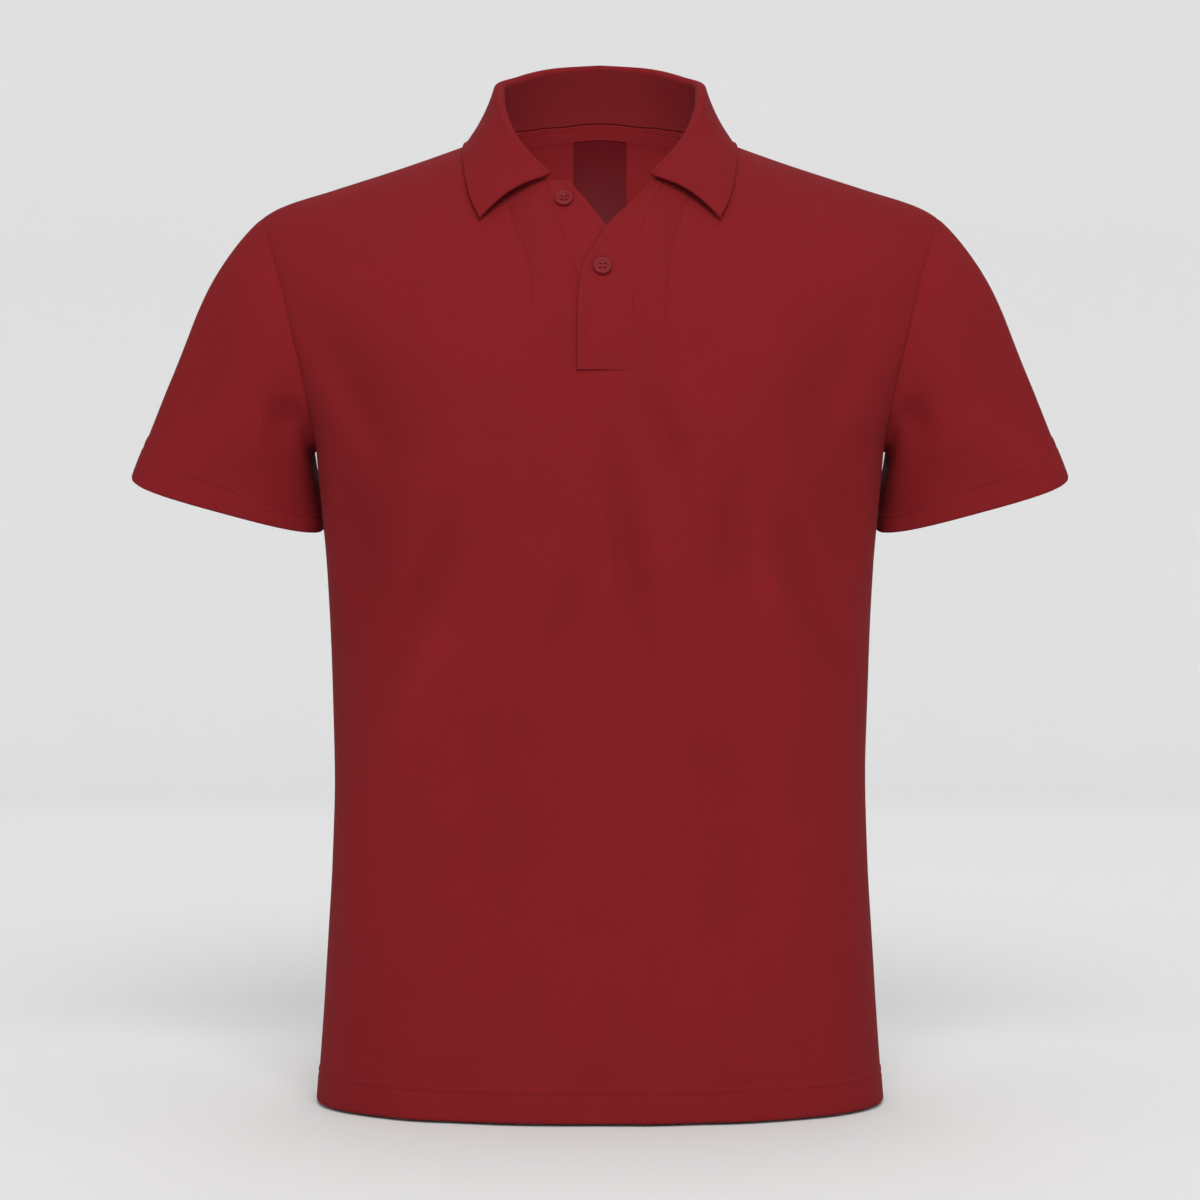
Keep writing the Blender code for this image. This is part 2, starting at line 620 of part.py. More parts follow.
def sleeve_folds(points, normals, turns, shares):
    """The sleeve with its folds, which fade out at the armhole and the cuff."""
    rows, columns = points.shape[:2]
    offset = np.zeros((rows, columns))
    for fold in rows_of(SLEEVE_FOLDS, SLEEVE_FOLD_COLUMNS):
        along = (shares[:, None] - fold["along1"]) / (fold["along2"] - fold["along1"])
        centre = fold["round1"] + (fold["round2"] - fold["round1"]) * along
        aside = (turns[None, :] - centre) * SLEEVE_GIRTH
        taper = np.sin(np.pi * np.clip(along, 0, 1))
        offset += fold["depth"] * taper * np.exp(-((aside / fold["half_width"]) ** 2))
    fade = ease(shares / 0.15) * ease((1 - shares) / 0.12)
    return points + normals * (offset * fade[:, None])[..., None]


def sleeve_sheet(name, loop, mirror):
    points, turns, shares, hem_share = sleeve_grid(loop)
    plain = Sheet(name, points, ring=True)
    points = sleeve_folds(points, plain.normals.reshape(points.shape) * -1, turns, shares)
    if mirror:
        points = points * np.array([-1.0, 1.0, 1.0])
    else:
        points = points[:, ::-1]
    in_hem = np.repeat(shares > 1 - hem_share - 1e-6, points.shape[1])
    return Sheet(name, points, ring=True), in_hem


# ---- The placket ----
def strip_sheet(name, left_x, right_x, seam_z, offset_left, offset_right):
    """A placket strip between two edges, with a row at each seam_z. The offsets move its edges outwards."""
    shares = np.array(STRIP_SHARES)
    top = seam_z[-1]
    end = np.full(len(shares), top)
    for _ in range(20):
        end = FRONT.neckline_z(np.abs(left_x(end) + shares * (right_x(end) - left_x(end))))
    climb = end - top
    offset = offset_left + shares * (offset_right - offset_left)
    rows = []
    for z in seam_z:
        lap = 1 - ease((z - LAP_TOP_Z) / LAP_FADE)
        rise = (z - seam_z[0]) / (top - seam_z[0])
        level = z + climb * ease((rise - 0.5) * 2)
        x = left_x(level) + shares * (right_x(level) - left_x(level))
        rows.append(FRONT.point(x, level) + FRONT.normal(x, level) * offset[:, None] * lap)
    return Sheet(name, np.array(rows))


# ---- The collar ----
def neck_seam(front_grid, back_grid):
    """The neck seam's points from the middle of the back round to the collar's front end at positive X."""
    middle = back_grid.shape[1] // 2
    back = back_grid[-1, middle - NECK_CELLS : middle + 1][::-1]
    front = mirrored(front_grid[-1:, SHOULDER_CELLS : SHOULDER_CELLS + NECK_CELLS + 1])[0, ::-1]
    corners = np.concatenate([back, front[1:]])
    between = (corners[:-1] + corners[1:]) / 2
    points = np.empty((len(corners) + len(between), 3))
    points[::2], points[1::2] = corners, between
    return points


def collar_sheet(seam, garment):
    """Rows go round the neck and columns from the neck seam over the fold to the leaf's free edge."""
    way = np.concatenate([[0.0], np.cumsum(np.linalg.norm(np.diff(seam, axis=0), axis=1))])
    along = way / way[-1]
    get = {n: curve(COLLAR_STATIONS, COLLAR_COLUMNS, "along", n)(along) for n in COLLAR_COLUMNS[1:]}
    crest = np.stack([get["crest_x"], get["crest_y"], get["crest_z"]], axis=1)
    edge = np.stack([get["edge_x"], get["edge_y"], get["edge_z"]], axis=1)
    rows = []
    for foot, top, rim, radius, sag in zip(seam, crest, edge, get["radius"], get["sag"]):
        up = unit(top - foot)
        away = rim - top
        away = unit(away - up * (away @ up))
        foot = foot + up * COLLAR_LIFT
        centre = top - up * radius
        turns = np.linspace(0.0, math.pi, FOLD_CELLS + 1)
        fold = [centre + radius * (up * math.sin(a) + away * (1 - math.cos(a))) for a in turns]
        stand = [foot + (fold[0] - foot) * s for s in np.linspace(0, 1, STAND_CELLS + 1)[:-1]]
        start = fold[-1]
        fall = unit(rim - start)
        bend = (start + rim) / 2 - sag * unit(away - fall * (away @ fall))
        shares = np.linspace(0, 1, LEAF_CELLS + 1)[1:]
        leaf = [(1 - s) ** 2 * start + 2 * s * (1 - s) * bend + s * s * rim for s in shares]
        rows.append(stand + fold + leaf)
    half = np.array(rows)
    back = unit(half[:-1] - half[1:])
    drawn = ease((along[1:] - FRONT_BOW_START) / (1 - FRONT_BOW_START))[:, None]
    bow = np.zeros(half.shape[1])
    bow[-LEAF_CELLS:] = FRONT_BOW * np.sin(np.pi * np.linspace(0, 1, LEAF_CELLS + 1)[1:])
    half[1:] += back * (drawn * bow)[..., None]
    clear = COLLAR / 2 + 2 * SEAM_GAP
    for row in half:
        for k in range(STAND_CELLS + FOLD_CELLS, len(row)):
            row[k] = lifted_clear(row[k], garment, clear)
    points = np.concatenate([half[::-1], half[1:] * np.array([-1.0, 1.0, 1.0])])
    return Sheet("collar", points)


def lifted_clear(point, surface, clearance):
    """The point, moved out along the garment's normal if it is nearer than the clearance."""
    for _ in range(4):
        nearest, normal, _, _ = surface.find_nearest(Vector(point))
        apart = Vector(point) - nearest
        height = apart.dot(normal)
        beside = (apart - normal * height).length
        if beside > clearance or height >= clearance:
            break
        point = np.array(Vector(point) + normal * (clearance - height))
    return point


def surface_of(sheets, offset):
    """The sheets' triangles moved along their normals, to lay other pieces on."""
    points, polygons = [], []
    for sheet in sheets:
        start = len(points)
        points += [Vector(p) for p in sheet.points + sheet.normals * offset]
        polygons += [[int(v) + start for v in t] for t in sheet.triangles()]
    return BVHTree.FromPolygons(points, polygons, all_triangles=True)


# ---- Inside the back neck ----
def inner_patch(name, x, drops, wall, inward):
    """A patch on the inside of the back, with columns at x and rows that lie the drops below the neckline."""
    rows = []
    for drop in drops:
        z = BACK.neckline_z(np.abs(x)) - drop
        rows.append(BACK.point(x, z) - BACK.normal(x, z) * PATCH_SEARCH)
    points = np.array(rows)[:, ::-1]
    for row in points:
        for k, point in enumerate(row):
            place, normal, _, _ = wall.find_nearest(Vector(point))
            row[k] = place - normal * inward
    return Sheet(name, points)


# ---- Buttons ----
def button(name, x, z, strip, finish, collection):
    """A round four-hole button lying on a placket strip at that place of the front view."""
    profile = [(radius, height * BUTTON_HEIGHT) for radius, height in BUTTON_PROFILE]
    mesh = bpy.data.meshes.new(name)
    mesh.from_pydata([(radius, 0.0, height) for radius, height in profile], turned_edges(profile), [])
    made = bpy.data.objects.new(name, mesh)
    collection.objects.link(made)
    screw = made.modifiers.new("turned", "SCREW")
    screw.steps = screw.render_steps = BUTTON_SEGMENTS
    screw.use_merge_vertices = True
    screw.merge_threshold = 0.00001
    mesh.materials.append(finish)
    out = Vector(FRONT.normal(np.array(x), np.array(z)))
    place = Vector(FRONT.point(np.array(x), np.array(z)))
    turned = out.to_track_quat("Z", "Y")
    face = surface_of([strip], STRIP / 2)
    heights = []
    for i in range(BUTTON_SEGMENTS):
        angle = 2 * math.pi * i / BUTTON_SEGMENTS
        rim = turned @ Vector((math.cos(angle), math.sin(angle), 0.0)) * BUTTON_FOOT_RADIUS
        hit = face.ray_cast(place + rim + out * 0.02, -out)[0]
        heights.append((hit - place) @ out)
    made.location = place + out * (max(heights) + SEAM_GAP)
    made.rotation_euler = turned.to_euler()
    return made


def turned_edges(profile):
    return [(i, i + 1) for i in range(len(profile) - 1)]


def cut_button_holes(made, cutters):
    """Four thread holes through a button."""
    for across in (-1, 1):
        for along in (-1, 1):
            bpy.ops.mesh.primitive_cylinder_add(
                vertices=HOLE_SEGMENTS, radius=BUTTON_HOLE_RADIUS, depth=4 * BUTTON_HEIGHT
            )
            cutter = bpy.context.object
            cutter.name = f"hole_{made.name}_{across}_{along}"
            offset = Vector((across * BUTTON_HOLE_OFFSET, along * BUTTON_HOLE_OFFSET, 0))
            cutter.location = made.location + made.rotation_euler.to_matrix() @ offset
            cutter.rotation_euler = made.rotation_euler
            cutter.hide_render = True
            cutter.display_type = "WIRE"
            for owner in list(cutter.users_collection):
                owner.objects.unlink(cutter)
            cutters.objects.link(cutter)
            cut = made.modifiers.new("hole", "BOOLEAN")
            cut.operation = "DIFFERENCE"
            cut.object = cutter


def main():
    for old in list(bpy.data.objects):
        bpy.data.objects.remove(old)
    shirt = bpy.data.collections.new("polo_shirt")
    cutters = bpy.data.collections.new("cutters")
    bpy.context.scene.collection.children.link(shirt)
    bpy.context.scene.collection.children.link(cutters)
    pique = material("pique", SHIRT_RED, 0.85)
    rib = material("collar_rib", SHIRT_RED, 0.85)
    tape_finish = material("neck_tape", SHIRT_RED, 0.8)
    label_finish = material("label", LABEL_RED, 0.6)
    button_finish = material("button", BUTTON_RED, 0.4)

    front, front_grid, (slot_row, slot_column) = front_sheet()
    back, back_grid = back_sheet()
    loop = armhole(front_grid, back_grid)
    left, left_hem = sleeve_sheet("sleeve_left", loop, mirror=False)
    right, right_hem = sleeve_sheet("sleeve_right", loop, mirror=True)
    seam_z = front_grid[slot_row:, slot_column, 2]
    under = strip_sheet("placket_under", under_seam_x, under_edge_x, seam_z, 0.0, -LAP_OFFSET)
    seam_z = front_grid[slot_row:, slot_column + SLOT_CELLS, 2]
    upper = strip_sheet("placket_upper", upper_edge_x, upper_seam_x, seam_z, LAP_OFFSET, 0.0)

    share_seam_normals([front, back, left, right, under, upper])
    for sheet in (front, back, left, right, under, upper):
        sheet.inset(SEAM_GAP / 2)
    for sheet in (front, back):
        in_hem = sheet.points[:, 2] < HEM_Z + HEM_HEIGHT + HEM_STEP / 2
        add_sheet(sheet, pique, shirt, outward=CLOTH / 2 + np.where(in_hem, HEM_EXTRA, 0.0))
    for sheet, in_hem in ((left, left_hem), (right, right_hem)):
        add_sheet(sheet, pique, shirt, outward=CLOTH / 2 + np.where(in_hem, HEM_EXTRA, 0.0))
    for sheet in (under, upper):
        add_sheet(sheet, pique, shirt, STRIP / 2, STRIP / 2)

    garment = surface_of([front, back, under, upper], STRIP / 2)
    collar = collar_sheet(neck_seam(front_grid, back_grid), garment)
    collar.inset(SEAM_GAP / 2)
    add_sheet(collar, rib, shirt, COLLAR / 2, COLLAR / 2)

    back_wall = surface_of([back], -CLOTH / 2)
    x = np.linspace(-TAPE_HALF_WIDTH, TAPE_HALF_WIDTH, TAPE_CELLS + 1)
    tape = inner_patch("neck_tape", x, TAPE_DROPS, back_wall, PATCH_GAP + TAPE / 2)
    add_sheet(tape, tape_finish, shirt, TAPE / 2, TAPE / 2)
    across, up = LABEL_CELLS
    x = np.linspace(-LABEL_HALF_WIDTH, LABEL_HALF_WIDTH, across + 1)
    label = inner_patch("neck_label", x, np.linspace(*LABEL_DROPS, up + 1), back_wall, PATCH_GAP + LABEL / 2)
    add_sheet(label, label_finish, shirt, LABEL / 2, LABEL / 2)

    lower = button("button_lower", *LOWER_BUTTON, upper, button_finish, shirt)
    top = button("button_top", *TOP_BUTTON, under, button_finish, shirt)
    for made in (lower, top):
        cut_button_holes(made, cutters)


main()
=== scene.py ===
"""The looks of the polo shirt: fine cloth on the solids' forms, with its creases, sewing, buttons and finish.

Metres, +Z up. The front faces -Y and the wearer's left sleeve is at +X. The tables of the torso, shoulders,
neckline, placket, collar, cuffs and folds say the same as the solids' own, apart from three folds in the
middle of the front and two on each sleeve, which are a little shallower here. The rest is finer form.
"""

import math

import bpy
import numpy as np
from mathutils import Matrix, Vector
from mathutils.bvhtree import BVHTree


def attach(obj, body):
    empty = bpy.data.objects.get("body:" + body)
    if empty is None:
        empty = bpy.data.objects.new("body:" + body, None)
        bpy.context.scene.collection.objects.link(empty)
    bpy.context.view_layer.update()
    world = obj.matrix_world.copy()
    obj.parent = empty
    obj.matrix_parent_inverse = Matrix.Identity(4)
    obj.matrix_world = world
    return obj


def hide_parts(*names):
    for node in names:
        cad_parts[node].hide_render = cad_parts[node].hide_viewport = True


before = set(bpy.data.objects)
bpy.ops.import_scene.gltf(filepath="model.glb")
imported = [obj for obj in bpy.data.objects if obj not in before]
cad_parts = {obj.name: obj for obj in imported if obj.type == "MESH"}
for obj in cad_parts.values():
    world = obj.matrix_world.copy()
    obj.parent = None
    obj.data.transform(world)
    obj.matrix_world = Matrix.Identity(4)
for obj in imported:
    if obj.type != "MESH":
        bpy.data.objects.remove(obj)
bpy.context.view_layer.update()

# ---- Sizes of the cloth ----
CLOTH = 0.0015  # wall of a single layer of pique
HEM_EXTRA = 0.0007  # how far a turned-up hem stands proud of the cloth above it
STRIP = 0.0018  # each placket strip, a folded double layer
COLLAR = 0.0020
TAPE = 0.0010
LABEL = 0.0010
SEAM_GAP = 0.0001  # between pieces that are sewn edge to edge
MITRE_LEAN = 0.75  # the cosine past which a mitre at a seam gets no longer
CLEARANCE = 0.0003
PATCH_GAP = 0.0005
PATCH_SEARCH = 0.006  # how far inside the back the search for its inner face starts
TAPE_HALF_WIDTH = 0.062
TAPE_DROPS = (0.0087, 0.0025)  # how far the tape's two long edges lie below the neckline
LABEL_HALF_WIDTH = 0.0205
LABEL_DROPS = (0.0730, 0.0094)
COLLAR_LIFT = 0.0009
FRONT_BOW = 0.0050  # how far the middle of the collar's front edge is drawn back from a straight line
FRONT_BOW_START = 0.72  # share of the way round at which that drawing back begins
HEM_Z = -0.7195
ARMPIT_Z = -0.235
SLOT_BOTTOM_Z = -0.184
LAP_TOP_Z = -0.074
LAP_FADE = 0.030
LAP_OFFSET = 0.0021
NECK_POINT_X = 0.076
SHOULDER_TIP_X = 0.2533
NECK_CORNER_LEFT = 0.0490  # where the collar's front ends meet the placket, at the wearer's left and right
NECK_CORNER_RIGHT = 0.0395
MIRROR = np.array([-1.0, 1.0, 1.0])
FRONT_SQUARENESS = 2.3
BACK_SQUARENESS = 2.4
FRONT_ARCH = (2.3, 1.7)
BACK_ARCH = (2.2, 2.2)
SEAM_FADE = 0.012  # folds fade out over this way towards a seam
SLOT_FADE = 0.010
EDGE_ROUNDING = 0.45  # share of its wall's thickness that a free edge loses, so that it is rounded
EDGE_ROUND = 0.0007
HEM_ROUND = 0.0008

# ---- Sewing ----
STITCH = 0.0026  # length of one stitch
STITCH_PITCH = 0.0032
THREAD_RADIUS = 0.00024
HEM_ROWS = (0.0202, 0.0256)  # heights of the twin rows of stitches above the hem's edge
SLEEVE_HEM_ROWS = (0.0175, 0.0225)
HEM_STEP = (0.0012, 0.0036)  # how far below its upper row a hem starts to thin out, and over what way
SLEEVE_HEM_STEP = (0.0010, 0.0032)
GROOVE_DEPTH = 0.00045  # how far a row of stitches pulls the cloth in
GROOVE_WIDTH = 0.0011
SEAM_DIP = 0.00030  # how far the cloth rolls in at a seam
SEAM_ROLL = 0.0017
SLOT_DIP = 0.00009
STRIP_DIP = 0.000105
STRIP_ROLL = 0.0010
STRIP_GROOVE = 0.000405
EDGE_SWELL = 0.00035  # how far a placket's edge stands out beside its row of stitches
EDGE_SWELL_START = 0.001
EDGE_SWELL_WAY = 0.00504
SELVEDGE = (0.0042, 0.00025, 0.0010)  # the groove behind the collar's free edge: its place, depth and width
EDGE_STITCH = 0.0063  # from the upper placket's free edge to its row of stitches
BOX_STITCH_Z = (-0.1719, -0.1822)
BUTTONHOLE_X = 0.0022
BUTTONHOLE_Z = (-0.1150, -0.1000)
BUTTONHOLE_PITCH = 0.0005
BUTTONHOLE_SIDE = (0.0003, 0.0014)  # from where to where, aside of its middle, its stitches reach
BUTTONHOLE_STITCH = (0.0011, 0.00022)  # their length and the thread's radius
SEAM_STITCH = 0.0022  # from the under placket's seam to its row of stitches
UNDER_STITCH_Z = (-0.12, -0.10)
BOX_STITCH_END = 0.002  # from the upper placket's edges to the ends of the stitches across it
HEM_PATH_END = 0.995  # share of the way to the side at which a hem's row of stitches ends
TOP_FREE = 0.004  # the placket's rows of stitches end this far below its top
OUTSIDE = 0.002  # paths of stitches start this far outside the cloth and are laid down on it
STITCH_RINGS = ((0.0, 0.35), (0.14, 0.9), (0.5, 1.0), (0.86, 0.9), (1.0, 0.35))  # share of the way, and size
STITCH_REACH = 0.01  # a stitch that is further than this from the cloth isn't made
STITCH_SINK = 0.35
STITCH_DIVE = 0.6  # shares of its radius that a stitch lies in the cloth, and that its ends go further down
TUBE_SIDES = 6

# ---- Grid counts: the long grids, then the fine steps beside a seam or an edge ----
BODY_ROWS = 122
ARMPIT_ROWS = 14
YOKE_ROWS = 52
NECK_CELLS = 18
SHOULDER_CELLS = 54
SLOT_CELLS = 12
SLEEVE_ROWS = 58
STAND_CELLS = 12
FOLD_CELLS = 12
LEAF_CELLS = 26
STRIP_CELLS = 30
EDGE_STEPS = (0.0006, 0.0014, 0.0026, 0.0044)
HEM_COARSE = (0.008, 0.0165, 4)  # the first and last height above the hem's edge, and their count
HEM_FINE = (0.0178, 0.0290, 0.0009)  # rows at the hem's stitches: from, to, apart
SLEEVE_HEM_COARSE = (0.0105, 0.0075)
SLEEVE_HEM_FINE = (0.0150, 0.0255, 0.0010)
NECK_WAY = 0.09  # about the length of cloth that each of these counts is for
SHOULDER_WAY = 0.18
YOKE_WAY = 0.22
STRIP_WAY = 0.038
STAND_WAY = 0.05
LEAF_WAY = 0.07
PATH_POINTS = 120

TORSO_COLUMNS = ("z", "front_edge_x", "back_edge_x", "turn", "front_depth", "back_depth")
TORSO = [
    (-0.7195, 0.2105, 0.2105, 0.00, 0.1200, 0.1120),
    (-0.6600, 0.2062, 0.2062, 0.00, 0.1185, 0.1090),
    (-0.6000, 0.2026, 0.2026, 0.00, 0.1170, 0.1050),
    (-0.5400, 0.1992, 0.1992, 0.00, 0.1150, 0.0990),
    (-0.4800, 0.1976, 0.1976, 0.00, 0.1140, 0.0960),
    (-0.4200, 0.1992, 0.1992, 0.00, 0.1150, 0.0980),
    (-0.3600, 0.2014, 0.2014, 0.00, 0.1182, 0.1050),
    (-0.3170, 0.2040, 0.2040, 0.00, 0.1203, 0.1085),
    (-0.2860, 0.2068, 0.2068, 0.00, 0.1216, 0.1112),
    (-0.2500, 0.2101, 0.2101, 0.00, 0.1229, 0.1140),
    (-0.2350, 0.2114, 0.2114, 0.00, 0.1233, 0.1150),
    (-0.2290, 0.2117, 0.2116, 0.12, 0.1235, 0.1155),
    (-0.2200, 0.2124, 0.2119, 0.21, 0.1237, 0.1160),
    (-0.2060, 0.2142, 0.2128, 0.31, 0.1241, 0.1167),
    (-0.1840, 0.2183, 0.2153, 0.39, 0.1246, 0.1176),
    (-0.1450, 0.2275, 0.2240, 0.46, 0.1250, 0.1180),
    (-0.1100, 0.2365, 0.2330, 0.47, 0.1250, 0.1180),
    (-0.0800, 0.2465, 0.2440, 0.47, 0.1250, 0.1180),
    (-0.0615, 0.2533, 0.2533, 0.47, 0.1250, 0.1180),
    (0.0000, 0.2750, 0.2750, 0.47, 0.1250, 0.1180),
    (0.0400, 0.2850, 0.2850, 0.47, 0.1250, 0.1180),
]

RIDGE_COLUMNS = ("x", "y", "z")
RIDGE = [
    (0.0000, 0.0250, 0.0310),
    (0.0400, 0.0225, 0.0245),
    (0.0580, 0.0205, 0.0155),
    (0.0760, 0.0180, 0.0050),
    (0.0900, 0.0160, -0.0012),
    (0.1040, 0.0145, -0.0067),
    (0.1500, 0.0105, -0.0235),
    (0.2000, 0.0075, -0.0400),
    (0.2410, 0.0050, -0.0540),
    (0.2533, 0.0040, -0.0615),
    (0.2900, 0.0030, -0.0900),
]

NECKLINE_COLUMNS = ("x", "front_y", "back_y")
NECKLINE = [
    (0.0000, -0.0650, 0.0650),
    (0.0230, -0.0645, 0.0635),
    (0.0400, -0.0615, 0.0590),
    (0.0490, -0.0550, 0.0545),
    (0.0580, -0.0450, 0.0470),
    (0.0660, -0.0310, 0.0380),
    (0.0720, -0.0130, 0.0280),
    (0.0760, 0.0180, 0.0180),
]

PLACKET_COLUMNS = ("z", "under_seam_x", "under_edge_x", "upper_edge_x", "upper_seam_x")
PLACKET = [
    (-0.1840, -0.0158, 0.0222, -0.0166, 0.0226),
    (-0.1500, -0.0158, 0.0222, -0.0166, 0.0228),
    (-0.1200, -0.0160, 0.0215, -0.0152, 0.0236),
    (-0.1085, -0.0178, 0.0195, -0.0126, 0.0244),
    (-0.0950, -0.0222, 0.0150, -0.0056, 0.0262),
    (-0.0760, -0.0296, 0.0048, 0.0066, 0.0314),
    (-0.0560, -0.0352, -0.0106, 0.0248, 0.0392),
    (-0.0405, -0.0395, -0.0228, 0.0393, 0.0470),
    (-0.0330, -0.0402, -0.0262, 0.0440, 0.0490),
]

COLLAR_COLUMNS = (
    "along", "crest_x", "crest_y", "crest_z", "edge_x", "edge_y", "edge_z", "fold_radius", "sag",
)
COLLAR_STATIONS = [
    (0.00, 0.0000, 0.0600, 0.0636, 0.0000, 0.0800, 0.0100, 0.0036, 0.0000),
    (0.16, 0.0330, 0.0560, 0.0605, 0.0440, 0.0720, 0.0075, 0.0036, 0.0010),
    (0.32, 0.0595, 0.0400, 0.0510, 0.0800, 0.0480, 0.0010, 0.0036, 0.0030),
    (0.48, 0.0725, 0.0180, 0.0415, 0.1015, 0.0160, -0.0040, 0.0034, 0.0045),
    (0.61, 0.0715, -0.0050, 0.0260, 0.1025, -0.0200, -0.0160, 0.0032, 0.0040),
    (0.74, 0.0660, -0.0270, 0.0060, 0.1000, -0.0440, -0.0330, 0.0028, 0.0020),
    (0.87, 0.0530, -0.0465, -0.0170, 0.0950, -0.0655, -0.0535, 0.0024, -0.0020),
    (1.00, 0.0360, -0.0650, -0.0365, 0.0875, -0.0800, -0.0704, 0.0018, -0.0070),
]

# Soft ridges (depth above 0) and troughs (below 0) from one point of a panel to another, seen from the front.
# bow is how far a fold's middle lies to the left of its straight line, and lean makes its left side steep.
FOLD_COLUMNS = ("x1", "z1", "x2", "z2", "half_width", "depth", "bow", "lean")
FRONT_FOLDS = [
    (-0.214, -0.122, -0.134, -0.262, 0.020, -0.0100, 0.004, 0.3),
    (-0.180, -0.220, -0.160, -0.410, 0.028, -0.0120, 0.003, 0.2),
    (-0.098, -0.262, -0.156, -0.405, 0.014, -0.0090, -0.004, 0.2),
    (-0.116, -0.345, -0.176, -0.505, 0.016, 0.0090, -0.005, 0.2),
    (-0.194, -0.330, -0.186, -0.480, 0.014, -0.0053, 0.002, 0.0),
    (0.192, -0.116, 0.132, -0.258, 0.021, -0.0100, -0.004, -0.3),
    (0.184, -0.212, 0.176, -0.360, 0.026, -0.0100, 0.003, -0.2),
    (0.104, -0.235, 0.098, -0.385, 0.014, -0.0085, 0.006, -0.2),
    (0.126, -0.260, 0.190, -0.445, 0.014, -0.0085, 0.004, -0.3),
    (0.028, -0.180, 0.066, -0.290, 0.010, -0.0055, -0.002, 0.0),
    (0.006, -0.212, 0.036, -0.420, 0.010, -0.0070, 0.003, 0.1),
    (-0.010, -0.280, -0.042, -0.420, 0.010, -0.0050, -0.002, 0.1),
    (-0.062, -0.400, -0.082, -0.630, 0.026, -0.0045, 0.004, 0.1),
    (0.075, -0.420, 0.100, -0.650, 0.028, -0.0045, -0.004, -0.1),
]
BACK_FOLDS = [
    (-0.200, -0.130, -0.110, -0.300, 0.020, -0.0083, 0.003, 0.1),
    (0.198, -0.124, 0.116, -0.290, 0.021, -0.0083, -0.003, -0.1),
    (-0.176, -0.250, -0.104, -0.430, 0.018, -0.0069, 0.004, 0.0),
    (0.180, -0.240, 0.096, -0.440, 0.018, -0.0066, -0.004, 0.0),
    (-0.116, -0.330, -0.168, -0.520, 0.017, 0.0060, -0.004, 0.2),
    (0.110, -0.340, 0.166, -0.530, 0.018, 0.0060, 0.005, -0.2),
    (-0.040, -0.300, -0.058, -0.560, 0.024, 0.0054, 0.003, 0.1),
    (0.048, -0.320, 0.070, -0.590, 0.024, 0.0051, -0.003, 0.0),
    (0.000, -0.380, 0.004, -0.620, 0.016, -0.0045, 0.002, 0.0),
    (-0.090, -0.470, -0.104, -0.660, 0.020, -0.0045, 0.003, 0.1),
    (0.104, -0.480, 0.112, -0.670, 0.022, -0.0042, -0.003, -0.1),
]

# The smaller creases, in the same columns.
FRONT_CREASES = [
    (-0.186, -0.170, -0.160, -0.262, 0.0075, -0.0010, 0.002, 0.4),
    (-0.172, -0.205, -0.128, -0.300, 0.0090, -0.0011, 0.003, 0.3),
    (-0.196, -0.262, -0.150, -0.345, 0.0085, -0.0009, -0.003, 0.0),
    (-0.098, -0.275, -0.128, -0.420, 0.0110, 0.0010, 0.003, 0.3),
    (-0.150, -0.415, -0.165, -0.560, 0.0080, -0.0009, 0.004, 0.0),
    (-0.062, -0.310, -0.084, -0.430, 0.0120, -0.0009, 0.000, 0.2),
    (-0.158, -0.470, -0.172, -0.640, 0.0120, 0.0010, 0.002, 0.0),
    (-0.105, -0.520, -0.118, -0.690, 0.0140, -0.0008, 0.003, 0.0),
    (0.190, -0.160, 0.152, -0.255, 0.0080, -0.0011, -0.002, -0.4),
    (0.168, -0.215, 0.126, -0.310, 0.0085, -0.0009, -0.003, -0.2),
    (0.198, -0.275, 0.158, -0.350, 0.0090, -0.0009, 0.002, 0.0),
    (0.092, -0.290, 0.132, -0.440, 0.0105, 0.0011, -0.003, -0.2),
    (0.150, -0.400, 0.178, -0.540, 0.0085, -0.0009, 0.003, 0.0),
    (0.108, -0.275, 0.150, -0.405, 0.0115, 0.0042, 0.004, -0.3),
    (0.160, -0.500, 0.172, -0.660, 0.0120, 0.0009, -0.003, 0.0),
    (0.080, -0.540, 0.098, -0.700, 0.0150, -0.0008, 0.000, 0.0),
    (0.034, -0.250, 0.052, -0.400, 0.0100, 0.0028, 0.000, 0.2),
    (0.010, -0.430, 0.004, -0.600, 0.0200, 0.0020, 0.003, 0.0),
    (-0.012, -0.330, -0.024, -0.440, 0.0080, -0.0007, -0.002, 0.3),
]
BACK_CREASES = [
    (-0.186, -0.170, -0.138, -0.260, 0.0080, -0.0011, 0.002, 0.3),
    (0.188, -0.175, 0.146, -0.268, 0.0080, -0.0010, -0.002, -0.3),
    (-0.160, -0.240, -0.090, -0.330, 0.0100, -0.0010, -0.003, 0.2),
    (0.158, -0.232, 0.100, -0.325, 0.0095, -0.0011, 0.003, -0.2),
    (-0.120, -0.420, -0.070, -0.540, 0.0110, 0.0010, 0.003, 0.0),
    (0.115, -0.430, 0.085, -0.550, 0.0115, 0.0010, -0.003, 0.0),
    (-0.150, -0.480, -0.130, -0.650, 0.0130, -0.0009, 0.002, 0.0),
    (0.150, -0.470, 0.136, -0.640, 0.0130, -0.0009, -0.002, 0.0),
    (-0.030, -0.070, -0.045, -0.190, 0.0120, 0.0007, 0.000, 0.0),
    (0.036, -0.080, 0.048, -0.200, 0.0120, 0.0007, 0.000, 0.0),
]

